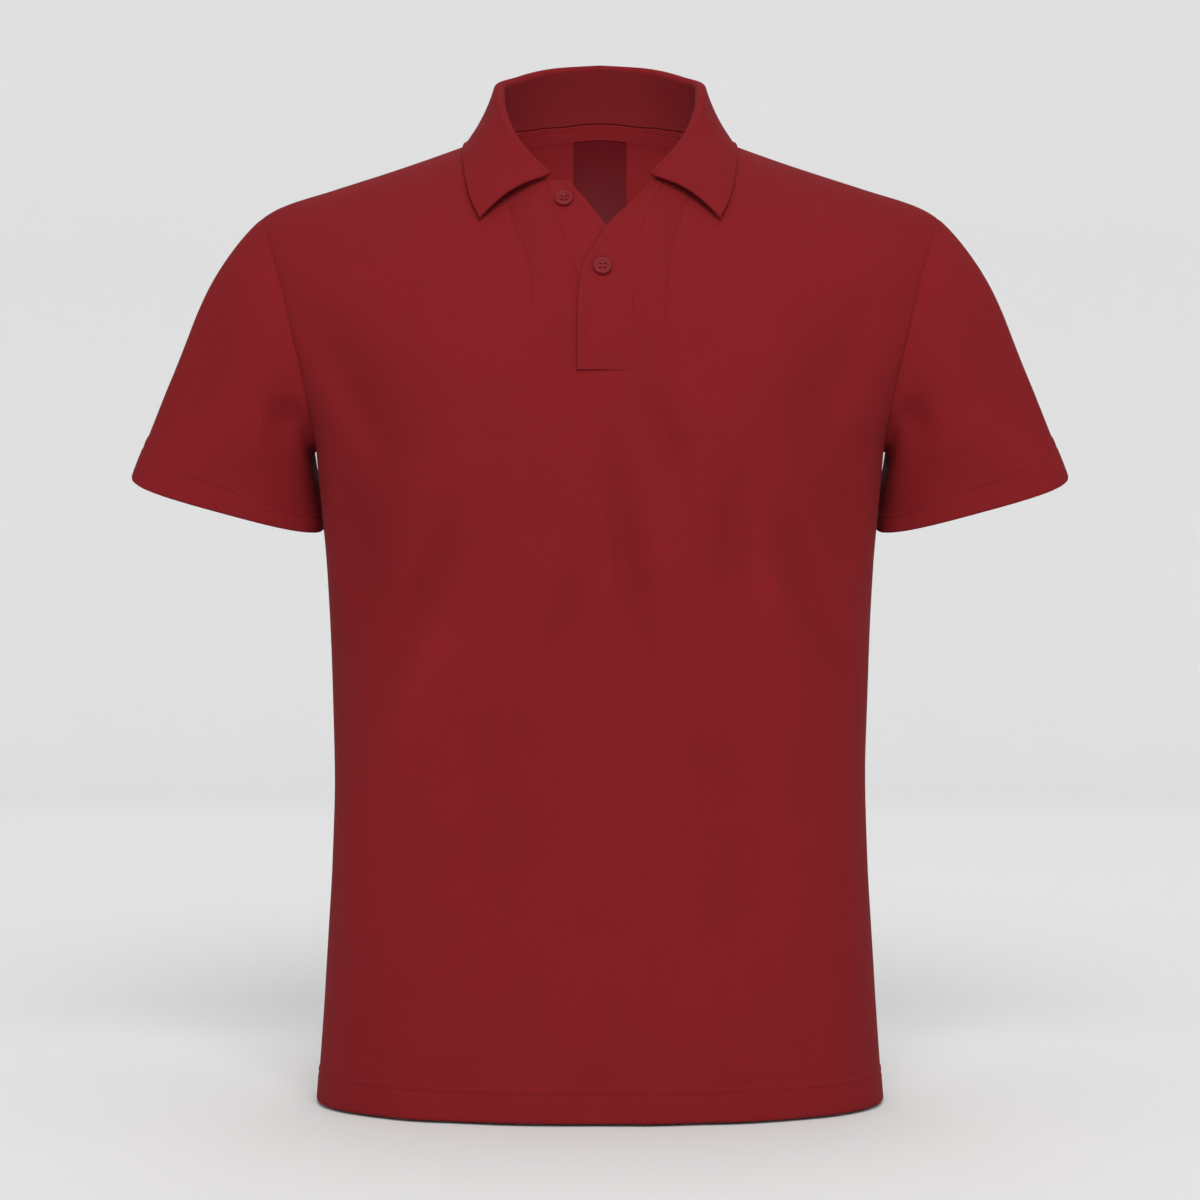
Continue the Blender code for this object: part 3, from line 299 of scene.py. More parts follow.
# A sleeve's folds, by the share of the way round from the underarm over the front and of the way along from
# the armhole to the cuff.
SLEEVE_FOLD_COLUMNS = ("round1", "along1", "round2", "along2", "half_width", "depth")
SLEEVE_FOLDS = [
    (0.35, 0.15, 0.42, 0.92, 0.024, -0.0065),
    (0.19, 0.12, 0.29, 0.92, 0.020, 0.0048),
    (0.10, 0.08, 0.24, 0.64, 0.018, -0.0040),
    (0.30, 0.30, 0.34, 0.84, 0.014, -0.0030),
    (0.65, 0.15, 0.58, 0.90, 0.026, -0.0062),
    (0.81, 0.12, 0.72, 0.88, 0.021, 0.0045),
    (0.90, 0.08, 0.76, 0.62, 0.018, -0.0040),
]
SLEEVE_CREASES = [
    (0.10, 0.02, 0.20, 0.55, 0.009, -0.0012),
    (0.16, 0.02, 0.27, 0.60, 0.010, -0.0012),
    (0.20, 0.10, 0.24, 0.80, 0.010, 0.0008),
    (0.31, 0.25, 0.36, 0.90, 0.012, -0.0009),
    (0.44, 0.15, 0.45, 0.70, 0.016, -0.0008),
    (0.90, 0.03, 0.80, 0.55, 0.009, -0.0012),
    (0.82, 0.04, 0.72, 0.60, 0.011, -0.0010),
    (0.66, 0.20, 0.63, 0.85, 0.013, -0.0009),
]
CUFF_OUTER = (0.3485, 0.0060, -0.2545)
CUFF_INNER = (0.2090, 0.0340, -0.2925)
CUFF_HALF_DEPTH = 0.042
CUFF_FRONT_DROP = 0.0098
CUFF_SQUARENESS = 3.0
SLEEVE_GIRTH = 0.36
LEAVE_TOP = (0.120, -0.004, -0.100)
LEAVE_UNDER = (0.036, 0.008, -0.008)
LEAVE_SIDE = (0.030, 0.010, -0.022)
ARRIVE_TOP = (0.072, 0.000, -0.215)
ARRIVE_UNDER = (0.000, 0.000, -0.095)
SLEEVE_FADE = (0.15, 0.12)  # shares of the sleeve's length over which folds fade out at armhole and cuff

# ---- Unevenness of the cloth: its height, and its shortest and longest wave ----
WAVE = (0.00055, 0.045, 0.15)
PUCKER = (0.00022, 0.012, 0.021)
HEM_WAVE = (0.0007, 0.05, 0.11)
SLEEVE_WAVE = (0.0005, 0.04, 0.12)
CUFF_WAVE = (0.0006, 0.035, 0.08)
GOLDEN_ANGLE = 2.39996
PUCKER_REACH = 0.014
HEM_WAVE_REACH = 0.05
CUFF_WAVE_REACH = 0.10

# ---- Buttons ----
BUTTON_PROFILE = [
    (0.0, 0.50),
    (0.0030, 0.52),
    (0.0038, 0.62),
    (0.0043, 0.88),
    (0.0049, 1.0),
    (0.0057, 0.98),
    (0.0063, 0.84),
    (0.0067, 0.62),
    (0.0067, 0.42),
    (0.0063, 0.16),
    (0.0056, 0.0),
    (0.0, 0.0),
]
BUTTON_HEIGHT = 0.0026
BUTTON_SEGMENTS = 64
BUTTON_HOLE_OFFSET = 0.0016
BUTTON_HOLE_RADIUS = 0.00085
BUTTON_HOLE_SIDES = 20
BUTTON_BACK = 0.0002  # points of the solid that are nearer than this to its back belong to the back
STRAND_RADIUS = 0.00023
STRAND_STEPS = 10
STRAND_LIFT = 0.00143  # height of the strands' ends above the button's back, before they dip into the holes
STRAND_DIP = 0.0009
STRAND_TOP = 0.00035
STRAND_APART = 0.00032
STRAND_RISE = 0.001178
CROSS_APART = 0.0002  # the same for the strands that cross between the two pairs of holes
CROSS_RISE = 0.00171

# ---- Colours, linear ----
SHIRT_RED = (0.190, 0.0116, 0.0146)
RIB_RED = (0.187, 0.0112, 0.0143)
STAND_PAINTED_SHADE_RED = (0.108, 0.0072, 0.0090)  # painted shade: the collar's stand drawn darker, as it shows in shade at the neck's inside
TAPE_RED = (0.184, 0.0114, 0.0144)
LABEL_RED = (0.085, 0.0030, 0.0055)
THREAD_RED = (0.188, 0.0114, 0.0146)
PAINTED_FOLD_SHADE_REACH = 0.012  # the depth or height of a fold that has the whole of its painted shade or painted highlight
PAINTED_FOLD_SHADE_TAPER = 0.7  # below 1.5, the painted shade and highlight reach further towards a fold's two ends than its depth
PAINTED_FOLD_SHADE_TONES = (-0.095, 0.085)  # painted shade and highlight: how much darker a trough is painted than the flat cloth, and how much paler a ridge
BUTTON_RED = (0.160, 0.0090, 0.0115)
BACKDROP_FLOOR = (0.79, 0.79, 0.79)
BACKDROP_WALL = (0.68, 0.68, 0.68)
WALL_GLOW = (0.215, 0.215, 0.215)
WALL_TONE_HEIGHT = 1.2  # how far above the floor the wall has the whole of its tone
PIQUE_LOOPS = (0.0014, 0.0011, 0.00030)  # how far apart loops are across and along, and their depth
TAPE_LOOPS = (0.0011, 0.0009, 0.00020)
RIB_LOOPS = (0.0013, 0.0010, 0.00035)
KNIT_TONES = (0.78, 1.75)  # a knit's darkest and palest places, against its colour: painted shade between its loops, and its grain and mottle
LOOP_PAINTED_SHADE = 0.16  # share of those tones that goes with the loops' height, a painted shade in the hollows between loops, then with grain and mottle
GRAIN = 0.06
MOTTLE = 0.10
FIBRE = 0.35  # share of the loops' height that its fibres add
WANDER = 1.6  # how far the rows of loops wander, where one loop is two pi
WANDER_SCALE = 90.0
MOTTLE_SCALE = 14.0
GRAIN_SCALE = 700.0
FIBRE_SCALE = 2600.0
WEFT_PITCH = 0.0006  # of the label's threads
STAND_PAINTED_SHADE_FADE = 300.0  # how fast, for each metre, the stand's painted shade goes over into the leaf's tone

# ---- Camera and stage ----
CAMERA_PLACE = (0.0, -2.25, -0.34725)
CAMERA_LENS = 90.0
CAMERA_SENSOR = 36.0
FLOOR_Z = -0.7215
BACKDROP_FLAT = 3.6  # radius of the flat floor, then of the bend up to the wall, and the wall's top
BACKDROP_BEND = 1.6
BACKDROP_TOP = 4.2
BACKDROP_BEND_STEPS = 12
BACKDROP_SEGMENTS = 96
DOME = 0.135
LIGHTS = [
    ("key", (0.25, -4.3, 3.0), (0.0, 0.0, -0.38), (3.2, 3.0), 214.0),
    ("overhead", (0.0, 0.2, 2.8), (0.0, 0.0, -0.35), (3.0, 2.4), 26.0),
    ("rear", (0.0, 1.7, 1.5), (0.0, 0.1, -0.35), (1.6, 1.0), 9.0),
    ("neck", (0.0, -0.050, -0.055), (0.0, 0.100, -0.060), (0.05, 0.03), 0.17),
]


# ---- Curves through the tables ----
def column(table, names, name):
    return np.array([row[names.index(name)] for row in table], float)


def rows_of(table, names):
    return [dict(zip(names, row)) for row in table]


def hermite(t, start, leave, end, arrive):
    """From start to end as t goes from 0 to 1, in the direction of leave and then of arrive."""
    rest = 1 - t
    return rest**2 * ((1 + 2 * t) * start + t * leave) + t**2 * ((3 - 2 * t) * end - rest * arrive)


def smooth(keys, values, flat_start=False):
    """A curve through the points that turns only where they do."""
    step = np.diff(keys)
    slope = np.diff(values) / step
    tangent = np.zeros(len(keys))
    tangent[0], tangent[-1] = 0.0 if flat_start else slope[0], slope[-1]
    for i in range(1, len(keys) - 1):
        if slope[i - 1] * slope[i] > 0:
            before, after = step[i - 1], step[i]
            weights = (2 * after + before, after + 2 * before)
            tangent[i] = sum(weights) / (weights[0] / slope[i - 1] + weights[1] / slope[i])

    def at(x):
        x = np.clip(np.asarray(x, float), keys[0], keys[-1])
        i = np.clip(np.searchsorted(keys, x, side="right") - 1, 0, len(step) - 1)
        h = step[i]
        t = (x - keys[i]) / h
        return hermite(t, values[i], h * tangent[i], values[i + 1], h * tangent[i + 1])

    return at


def curve(table, names, key, name, flat_start=False):
    return smooth(column(table, names, key), column(table, names, name), flat_start)


def ease(t):
    t = np.clip(t, 0.0, 1.0)
    return t * t * (3 - 2 * t)


def bell(distance, width):
    return np.exp(-((distance / width) ** 2))


def unit(vectors):
    return vectors / np.maximum(np.linalg.norm(vectors, axis=-1, keepdims=True), 1e-12)


def way_along(points, axis=0):
    """The length of the way from the first point to each, along one axis of a grid of points."""
    steps = np.linalg.norm(np.diff(points, axis=axis), axis=-1)
    way = np.zeros(points.shape[:-1])
    body = [slice(None)] * way.ndim
    body[axis] = slice(1, None)
    way[tuple(body)] = np.cumsum(steps, axis=axis)
    return way


def evenly_along(points, shares):
    """The points at those shares of the way through the given ones."""
    way = way_along(points)
    return np.stack([np.interp(np.asarray(shares) * way[-1], way, points[:, i]) for i in range(3)], axis=1)


def shares_with_edges(count, length, start=True, end=True):
    """Shares from 0 to 1 in even steps, with fine steps beside the ends that are seams."""
    fine = np.array(EDGE_STEPS) / length
    first = [0.0, *fine] if start else [0.0]
    last = [*(1 - fine[::-1]), 1.0] if end else [1.0]
    between = np.linspace(first[-1], last[0], count + 1)[1:-1]
    return np.concatenate([first, between, last])


ridge_y = curve(RIDGE, RIDGE_COLUMNS, "x", "y", flat_start=True)
ridge_z = curve(RIDGE, RIDGE_COLUMNS, "x", "z", flat_start=True)
turn_at = curve(TORSO, TORSO_COLUMNS, "z", "turn")


class Side:
    """The front or the back of the torso as a surface over the front view."""

    def __init__(self, name, facing, squareness, arch, folds, seed):
        self.name = name
        self.facing = facing
        self.squareness = squareness
        self.arch = arch
        self.folds = rows_of(folds, FOLD_COLUMNS)
        self.seed = seed
        self.edge_x = curve(TORSO, TORSO_COLUMNS, "z", name + "_edge_x")
        self.depth = curve(TORSO, TORSO_COLUMNS, "z", name + "_depth")
        self.neckline_y = curve(NECKLINE, NECKLINE_COLUMNS, "x", name + "_y", flat_start=True)

    def full_angle(self, z):
        return np.arccos(turn_at(z) ** (self.squareness / 2))

    def full_width(self, z):
        return self.edge_x(z) / np.sin(self.full_angle(z)) ** (2 / self.squareness)

    def angle_of(self, x, z):
        share = np.clip(np.abs(x) / self.full_width(z), 0.0, 1.0)
        return np.sign(x) * np.arcsin(share ** (self.squareness / 2))

    def x_of(self, angle, z):
        return np.sign(angle) * self.full_width(z) * np.sin(np.abs(angle)) ** (2 / self.squareness)

    def y_of(self, x, z, angle=None):
        """How far forward or back the cloth is at that place of the front view."""
        if angle is None:
            angle = self.angle_of(x, z)
        rise = np.clip((z - ARMPIT_Z) / (ridge_z(np.abs(x)) - ARMPIT_Z), 0.0, 1.0)
        arch = (1 - rise ** self.arch[0]) ** (1 / self.arch[1])
        across = np.maximum(np.cos(angle), 0.0) ** (2 / self.squareness)
        return ridge_y(np.abs(x)) * ease(rise) + self.facing * self.depth(z) * across * arch

    def point(self, x, z):
        return np.stack([x, self.y_of(x, z), z], axis=-1)

    def normal(self, x, z, step=0.0005):
        across = self.point(x + step, z) - self.point(x - step, z)
        upward = self.point(x, z + step) - self.point(x, z - step)
        return unit(np.cross(upward, across) * self.facing)

    def above(self, x, z, height):
        """Points that lie above the cloth by the height, or on its inner side if that is below 0."""
        return self.point(x, z) + self.normal(x, z) * height

    def neckline_z(self, x):
        """The height at which the cloth reaches the neckline's place as seen from above."""
        wanted = self.neckline_y(x)
        low = np.full(np.shape(x), SLOT_BOTTOM_Z)
        high = ridge_z(x) + np.zeros(np.shape(x))
        for _ in range(40):
            middle = (low + high) / 2
            short = self.facing * (self.y_of(x, middle) - wanted) > 0
            low, high = np.where(short, middle, low), np.where(short, high, middle)
        return high

    def neckline(self, inner_x, shares):
        """Points of the neckline from inner_x out to the neck point, for the half at positive X."""
        x = inner_x + (NECK_POINT_X - inner_x) * np.sin(np.linspace(0.0, math.pi / 2, 200))
        return evenly_along(self.point(x, self.neckline_z(x)), shares)

    def fold_offset(self, x, z, taper_power=1.5):
        """How far the folds and creases stand out at that place of the front view."""
        total = np.zeros(np.broadcast(x, z).shape)
        for fold in self.folds:
            dx, dz = fold["x2"] - fold["x1"], fold["z2"] - fold["z1"]
            length = math.hypot(dx, dz)
            from_x, from_z = x - fold["x1"], z - fold["z1"]
            along = np.clip((from_x * dx + from_z * dz) / length**2, 0.0, 1.0)
            taper = np.sin(np.pi * along)
            aside = (from_x * dz - from_z * dx) / length - fold["bow"] * taper
            width = fold["half_width"] * (1 - fold["lean"] * np.tanh(aside / fold["half_width"]))
            total += fold["depth"] * taper**taper_power * bell(aside, width)
        return total


FRONT = Side("front", -1, FRONT_SQUARENESS, FRONT_ARCH, FRONT_FOLDS + FRONT_CREASES, seed=1)
BACK = Side("back", 1, BACK_SQUARENESS, BACK_ARCH, BACK_FOLDS + BACK_CREASES, seed=4)
under_seam_x, under_edge_x, upper_edge_x, upper_seam_x = (
    curve(PLACKET, PLACKET_COLUMNS, "z", name) for name in PLACKET_COLUMNS[1:]
)


def unevenness(u, v, waves, seed):
    """A soft waviness of waves in many directions. Fixed numbers scatter their turns, lengths and phases."""
    height, shortest, longest = waves
    total = np.zeros(np.broadcast(u, v).shape)
    count = 9
    for k in range(count):
        turn = GOLDEN_ANGLE * (k + seed)
        wavelength = shortest * (longest / shortest) ** ((k * 0.618 + seed * 0.37) % 1.0)
        phase = 1.7 * k * k + 2.1 * seed
        total += np.sin(2 * math.pi * (u * math.cos(turn) + v * math.sin(turn)) / wavelength + phase)
    return height * total / math.sqrt(count)


# ---- Walls of cloth ----
class Sheet:
    """A grid of points with its quads, its wall's thickness and how far out its outer face lies."""

    def __init__(self, name, points, wall=CLOTH, keep=None, ring=False):
        rows, columns = points.shape[:2]
        self.name = name
        self.wall = wall
        self.outward = np.full(rows * columns, wall / 2)
        self.shape = (rows, columns)
        self.points = points.reshape(-1, 3).copy()
        self.relief = np.zeros(rows * columns)
        closed = np.concatenate([points, points[:, :1]], axis=1) if ring else points
        self.across = way_along(closed, axis=1)
        self.up = way_along(points, axis=0)
        across_middle = self.across[rows // 2]
        last = columns if ring else columns - 1
        i, j = np.meshgrid(np.arange(rows - 1), np.arange(last), indexing="ij")
        kept = np.ones(i.shape, bool) if keep is None else keep
        i, j = i[kept], j[kept]
        k = (j + 1) % columns
        low, high = i * columns, (i + 1) * columns
        self.quads = np.stack([low + j, low + k, high + k, high + j], axis=1)
        rise = self.up.mean(axis=1)
        u = across_middle[np.stack([j, j + 1, j + 1, j], axis=1)]
        v = rise[np.stack([i, i, i + 1, i + 1], axis=1)]
        self.cloth = np.stack([u, v], axis=-1)
        self.normals = self.own_normals()

    def own_normals(self):
        a, b, c, d = (self.points[self.quads[:, i]] for i in range(4))
        face = np.cross(c - a, d - b)
        normals = np.zeros_like(self.points)
        for i in range(4):
            np.add.at(normals, self.quads[:, i], face)
        return unit(normals)

    def rim(self):
        """The directed edges that only one quad has."""
        quads = self.quads.tolist()
        edges = {(q[i], q[(i + 1) % 4]) for q in quads for i in range(4)}
        return sorted((a, b) for a, b in edges if (b, a) not in edges)

    def inset(self, distance):
        """Moves the rim in along the cloth."""
        pulls = {}
        for a, b in self.rim():
            direction = unit(self.points[b] - self.points[a])
            for point in (a, b):
                pulls.setdefault(point, []).append(unit(np.cross(self.normals[point], direction)))
        for point, (one, other) in pulls.items():
            self.points[point] += distance * (one + other) / (1 + one @ other)


def share_seam_normals(sheets):
    """Gives points that lie together in several sheets one normal, so that their walls meet in a mitre."""
    found = {}
    for sheet in sheets:
        for point in {v for edge in sheet.rim() for v in edge}:
            key = tuple(np.round(sheet.points[point], 6))
            found.setdefault(key, []).append((sheet, point))
    for places in found.values():
        if len(places) < 2:
            continue
        total = unit(sum(sheet.normals[point] for sheet, point in places))
        lean = min(float(total @ sheet.normals[point]) for sheet, point in places)
        for sheet, point in places:
            sheet.normals[point] = total / max(lean, MITRE_LEAN)


def linked(name, data):
    """A new object in the scene."""
    made = bpy.data.objects.new(name, data)
    bpy.context.scene.collection.objects.link(made)
    return made


def add_mesh(name, points, faces, finish, cloth=None, relief=None, sharp=60):
    """An object of its own. cloth gives each face's corners their place on the cloth, in metres.

    relief gives each point's height on the folds, which the knit's painted shade in troughs and painted
    highlight on ridges follow.
    """
    mesh = bpy.data.meshes.new(name)
    mesh.from_pydata(points, [], faces)
    if cloth is not None:
        layer = mesh.uv_layers.new(name="cloth")
        layer.data.foreach_set("uv", np.asarray(cloth, np.float32).ravel())
    if relief is not None:
        heights = mesh.attributes.new("relief", "FLOAT", "POINT")
        heights.data.foreach_set("value", np.asarray(relief, np.float32))
    mesh.shade_smooth()
    mesh.set_sharp_from_angle(angle=math.radians(sharp))
    mesh.materials.append(finish)
    return linked(name, mesh)


def add_sheet(sheet, finish):
    """A closed wall: the outer face, the inner face half a wall in, and a rim between them."""
    count = len(sheet.points)
    outer = sheet.points + sheet.normals * sheet.outward[:, None]
    inner = sheet.points - sheet.normals * sheet.wall / 2
    rim = np.array(sheet.rim())
    rim_faces = np.stack([rim[:, 1], rim[:, 0], rim[:, 0] + count, rim[:, 1] + count], axis=1)
    faces = np.concatenate([sheet.quads, sheet.quads[:, ::-1] + count, rim_faces])
    corner_cloth = np.zeros((count, 2))
    corner_cloth[sheet.quads.ravel()] = sheet.cloth.reshape(-1, 2)
    cloth = np.concatenate([sheet.cloth, sheet.cloth[:, ::-1], corner_cloth[rim_faces % count]])
    used = np.unique(faces)
    place = np.zeros(2 * count, int)
    place[used] = np.arange(len(used))
    points = np.concatenate([outer, inner])[used]
    relief = np.concatenate([sheet.relief, -sheet.relief])[used]
    return add_mesh(sheet.name + "_cloth", points.tolist(), place[faces].tolist(), finish, cloth, relief)


def surface_of(sheets, offset=None):
    """The sheets' quads moved along their normals, or else their outer faces, to lay other pieces on."""
    points, polygons = [], []
    for sheet in sheets:
        start = len(points)
        shift = sheet.outward[:, None] if offset is None else offset
        points += (sheet.points + sheet.normals * shift).tolist()
        polygons += (sheet.quads + start).tolist()
    return BVHTree.FromPolygons([Vector(p) for p in points], polygons)


# ---- The torso panels ----
def row_levels():
    """The heights of the rows up to the slot's bottom, fine at the hem's edge and stitches."""
    hem = np.concatenate([[0.0, *EDGE_STEPS], np.linspace(*HEM_COARSE), np.arange(*HEM_FINE)])
    body = np.linspace(HEM_Z + hem[-1], ARMPIT_Z, BODY_ROWS + 1)[1:]
    rise = np.arange(1, ARMPIT_ROWS + 1) / ARMPIT_ROWS
    return np.concatenate([HEM_Z + hem, body, ARMPIT_Z + (SLOT_BOTTOM_Z - ARMPIT_Z) * rise**1.5])


def yoke_heights(top_x, top_z):
    """The heights of the rows above the slot's bottom, closer where the cloth turns over the shoulder."""
    reach = ridge_z(top_x) - ARMPIT_Z
    start = np.arcsin((SLOT_BOTTOM_Z - ARMPIT_Z) / reach)
    end = np.arcsin(np.clip((top_z - ARMPIT_Z) / reach, 0.0, 1.0))
    share = shares_with_edges(YOKE_ROWS, YOKE_WAY, start=False)[1:, None]
    return ARMPIT_Z + reach * np.sin(start + (end - start) * share)


def half_panel(side, inner_x, corner, inner_is_seam):
    """Grid of one half of a panel at positive X, from its inner edge inner_x(z) to the side."""
    neck = side.neckline(corner, shares_with_edges(NECK_CELLS, NECK_WAY, inner_is_seam, False))
    shares = shares_with_edges(SHOULDER_CELLS, SHOULDER_WAY, start=False)[1:]
    x = NECK_POINT_X + (SHOULDER_TIP_X - NECK_POINT_X) * shares
    shoulder = np.stack([x, ridge_y(x), ridge_z(x)], axis=1)
    tops = np.concatenate([neck, shoulder])
    top_x, top_z = tops[:, 0], tops[:, 2]
    inner_angle = side.angle_of(inner_x(top_z), top_z)
    share = (side.angle_of(top_x, top_z) - inner_angle) / (side.full_angle(top_z) - inner_angle)
    share[0], share[-1] = 0.0, 1.0
    z = np.concatenate([np.repeat(row_levels()[:, None], len(tops), axis=1), yoke_heights(top_x, top_z)])
    inner_angle = side.angle_of(inner_x(z), z)
    angle = inner_angle + share[None, :] * (side.full_angle(z) - inner_angle)
    x = side.x_of(angle, z)
    points = np.stack([x, side.y_of(x, z, angle), z], axis=-1)
    points[-1] = tops
    return points


def mirrored(points):
    """The grid at the other side, its columns still in order along X."""
    return points[:, ::-1] * MIRROR


def with_folds(side, points):
    """The grid with its folds raised, which fade out towards the seams at its edges, and their heights, from
    which the knit paints shade into troughs and highlight onto ridges.
    """
    x, z = points[..., 0], points[..., 2]
    up = way_along(points, axis=0)
    to_side, to_top = to_seams(way_along(points, axis=1), up)
    free = ease(to_side / SEAM_FADE) * ease(to_top / SEAM_FADE)
    wave = unevenness(x, z, WAVE, side.seed)
    pucker = unevenness(x * 0.2, up, PUCKER, 7) * bell(to_side, PUCKER_REACH)
    hem_wave = unevenness(x, z * 0.3, HEM_WAVE, 3) * bell(z - HEM_Z, HEM_WAVE_REACH)
    offset = side.fold_offset(x, z) + wave + pucker + hem_wave
    folded = points.copy()
    folded[..., 1] += side.facing * offset * free
    return folded, side.fold_offset(x, z, PAINTED_FOLD_SHADE_TAPER) * free


def to_seams(across, up):
    """How far each place of a torso panel is from its sides and from its upper edge."""
    return np.minimum(across, across[:, -1:] - across), up[-1:] - up


def from_slot(across, slot_column):
    """How far each place of the front lies beside the slot's columns."""
    before = across[:, slot_column, None] - across
    beyond = across - across[:, slot_column + SLOT_CELLS, None]
    return np.maximum(np.maximum(before, beyond), 0.0)


def front_sheet():
    """The front with its slot, its grid before the folds were raised, and the slot's first row and column."""
    wearers_left = half_panel(FRONT, upper_seam_x, NECK_CORNER_LEFT, True)
    wearers_right = mirrored(half_panel(FRONT, lambda z: -under_seam_x(z), NECK_CORNER_RIGHT, True))
    seams = wearers_right[:, -1], wearers_left[:, 0]
    shares = np.linspace(0.0, 1.0, SLOT_CELLS + 1)[1:-1]
    middle = np.stack([seams[0] + s * (seams[1] - seams[0]) for s in shares], axis=1)
    middle[..., 1] = FRONT.y_of(middle[..., 0], middle[..., 2])
    points = np.concatenate([wearers_right, middle, wearers_left], axis=1)
    slot_row = len(row_levels()) - 1
    slot_column = wearers_right.shape[1] - 1
    keep = np.ones((points.shape[0] - 1, points.shape[1] - 1), bool)
    keep[slot_row:, slot_column : slot_column + SLOT_CELLS] = False
    folded, relief = with_folds(FRONT, points)
    to_slot = from_slot(way_along(points, axis=1), slot_column)
    above = ease((points[..., 2] - SLOT_BOTTOM_Z + SEAM_FADE) / SEAM_FADE)
    free = 1 - above * (1 - ease(to_slot / SLOT_FADE))
    sheet = Sheet("front", points + (folded - points) * free[..., None], keep=keep)
    sheet.relief = (relief * free).ravel()
    sheet.outward = panel_outward(sheet, slot_row, slot_column)
    return sheet, points, slot_row, slot_column


def back_sheet():
    """The back, and its grid before the folds were raised."""
    half = half_panel(BACK, lambda z: np.zeros_like(z), 0.0, False)
    points = np.concatenate([half[:, ::-1], mirrored(half)[:, ::-1][:, 1:]], axis=1)
    folded, relief = with_folds(BACK, points)
    sheet = Sheet("back", folded)
    sheet.relief = relief.ravel()
    sheet.outward = panel_outward(sheet)
    return sheet, points


def rounded(to_edge, wall, width):
    """What the outer face loses beside a free edge."""
    return EDGE_ROUNDING * wall * bell(to_edge, width)


def hem_outward(height, rows, step):
    """The outer face of a panel with a turned-up hem, its edge rounded, and its rows of stitches drawn in."""
    start, length = step
    out = CLOTH / 2 + HEM_EXTRA * (1 - ease((height - rows[1] + start) / length))
    for row in rows:
        out -= GROOVE_DEPTH * bell(height - row, GROOVE_WIDTH)
    return out - rounded(height, CLOTH + HEM_EXTRA, HEM_ROUND)


def panel_outward(sheet, slot_row=None, slot_column=None):
    """The outer face of a torso panel above its points: hem, rows of stitches and the roll at each seam."""
    to_side, to_top = to_seams(sheet.across, sheet.up)
    out = hem_outward(sheet.points[:, 2].reshape(sheet.shape) - HEM_Z, HEM_ROWS, HEM_STEP)
    out -= SEAM_DIP * np.maximum(bell(to_side, SEAM_ROLL), bell(to_top, SEAM_ROLL))
    if slot_row is not None:
        out[slot_row:] -= SLOT_DIP * bell(from_slot(sheet.across, slot_column)[slot_row:], SEAM_ROLL)
    return out.ravel()


# ---- The sleeves ----
def armhole(front_grid, back_grid):
    """The wearer's left armhole from the underarm up the front to the shoulder tip and down the back."""
    armpit_row = int(np.argmin(np.abs(row_levels() - ARMPIT_Z)))
    up_front = front_grid[armpit_row:, -1]
    down_back = back_grid[armpit_row:, 0][::-1]
    return np.concatenate([up_front, down_back[1:-1]])


class Sleeve:
    """Rings of points from the armhole's loop to the cuff, each from the underarm round over the front."""

    def __init__(self, loop):
        self.loop = loop
        way = way_along(np.concatenate([loop, loop[:1]]))
        tip = int(np.argmax(loop[:, 2]))
        up = way[: tip + 1] / way[tip] / 2
        down = 0.5 + (way[tip + 1 : -1] - way[tip]) / (way[-1] - way[tip]) / 2
        self.turns = np.concatenate([up, down])
        turn = 2 * math.pi * self.turns
        inner, outer = np.array(CUFF_INNER), np.array(CUFF_OUTER)
        centre, half = (inner + outer) / 2, (inner - outer) / 2
        drop = unit(np.cross(half, (0.0, 1.0, 0.0)))
        drop *= -np.sign(drop[2]) * CUFF_FRONT_DROP
        waves = np.stack([np.cos(turn), np.sin(turn)])[..., None]
        across, forward = np.sign(waves) * np.abs(waves) ** (2 / CUFF_SQUARENESS)
        side = drop - CUFF_HALF_DEPTH * np.array([0.0, 1.0, 0.0])
        self.cuff = centre + half * across + forward * side
        over = ease((1 - np.cos(turn)) / 2)[:, None]
        beside = (np.sin(turn) ** 2)[:, None]
        leave_side = np.array(LEAVE_SIDE) * np.stack([turn**0, -np.sin(turn), turn**0], axis=1)
        self.leave = over * np.array(LEAVE_TOP) + (1 - over) * np.array(LEAVE_UNDER) + beside * leave_side
        self.arrive = over * np.array(ARRIVE_TOP) + (1 - over) * np.array(ARRIVE_UNDER)
        self.length = np.linalg.norm(self.cuff - loop, axis=1).mean()

    def shares(self):
        """Shares of the way along, fine at the armhole, at the rows of stitches and at the cuff's edge."""
        start = np.array([0.0, *EDGE_STEPS]) / self.length
        rows = 1 - np.arange(*SLEEVE_HEM_FINE)[::-1] / self.length
        end = 1 - np.array([*SLEEVE_HEM_COARSE, *EDGE_STEPS[::-1], 0.0]) / self.length
        between = np.linspace(start[-1], rows[0], SLEEVE_ROWS)[1:-1]
        return np.concatenate([start, between, rows, end])

    def folded(self, points, normals, shares):
        """The rings with the sleeve's folds and unevenness raised, and the folds' heights, from which the
        knit paints shade into troughs and highlight onto ridges.
        """
        shares = shares[:, None]
        offset = np.zeros(points.shape[:2])
        for fold in rows_of(SLEEVE_FOLDS + SLEEVE_CREASES, SLEEVE_FOLD_COLUMNS):
            along = (shares - fold["along1"]) / (fold["along2"] - fold["along1"])
            centre = fold["round1"] + (fold["round2"] - fold["round1"]) * along
            aside = (self.turns[None, :] - centre) * SLEEVE_GIRTH
            taper = np.sin(np.pi * np.clip(along, 0, 1))
            offset += fold["depth"] * taper * bell(aside, fold["half_width"])
        free = ease(shares / SLEEVE_FADE[0]) * ease((1 - shares) / SLEEVE_FADE[1])
        radius = SLEEVE_GIRTH / 6
        around = np.cos(2 * math.pi * self.turns)[None, :] * radius
        forward = np.sin(2 * math.pi * self.turns)[None, :] * radius
        wave = unevenness(around + shares * 0.05, forward + shares * 0.14, SLEEVE_WAVE, 2)
        edge = unevenness(around, forward, CUFF_WAVE, 5) * bell(1 - shares, CUFF_WAVE_REACH)
        return points + normals * ((offset + wave) * free + edge)[..., None], offset * free


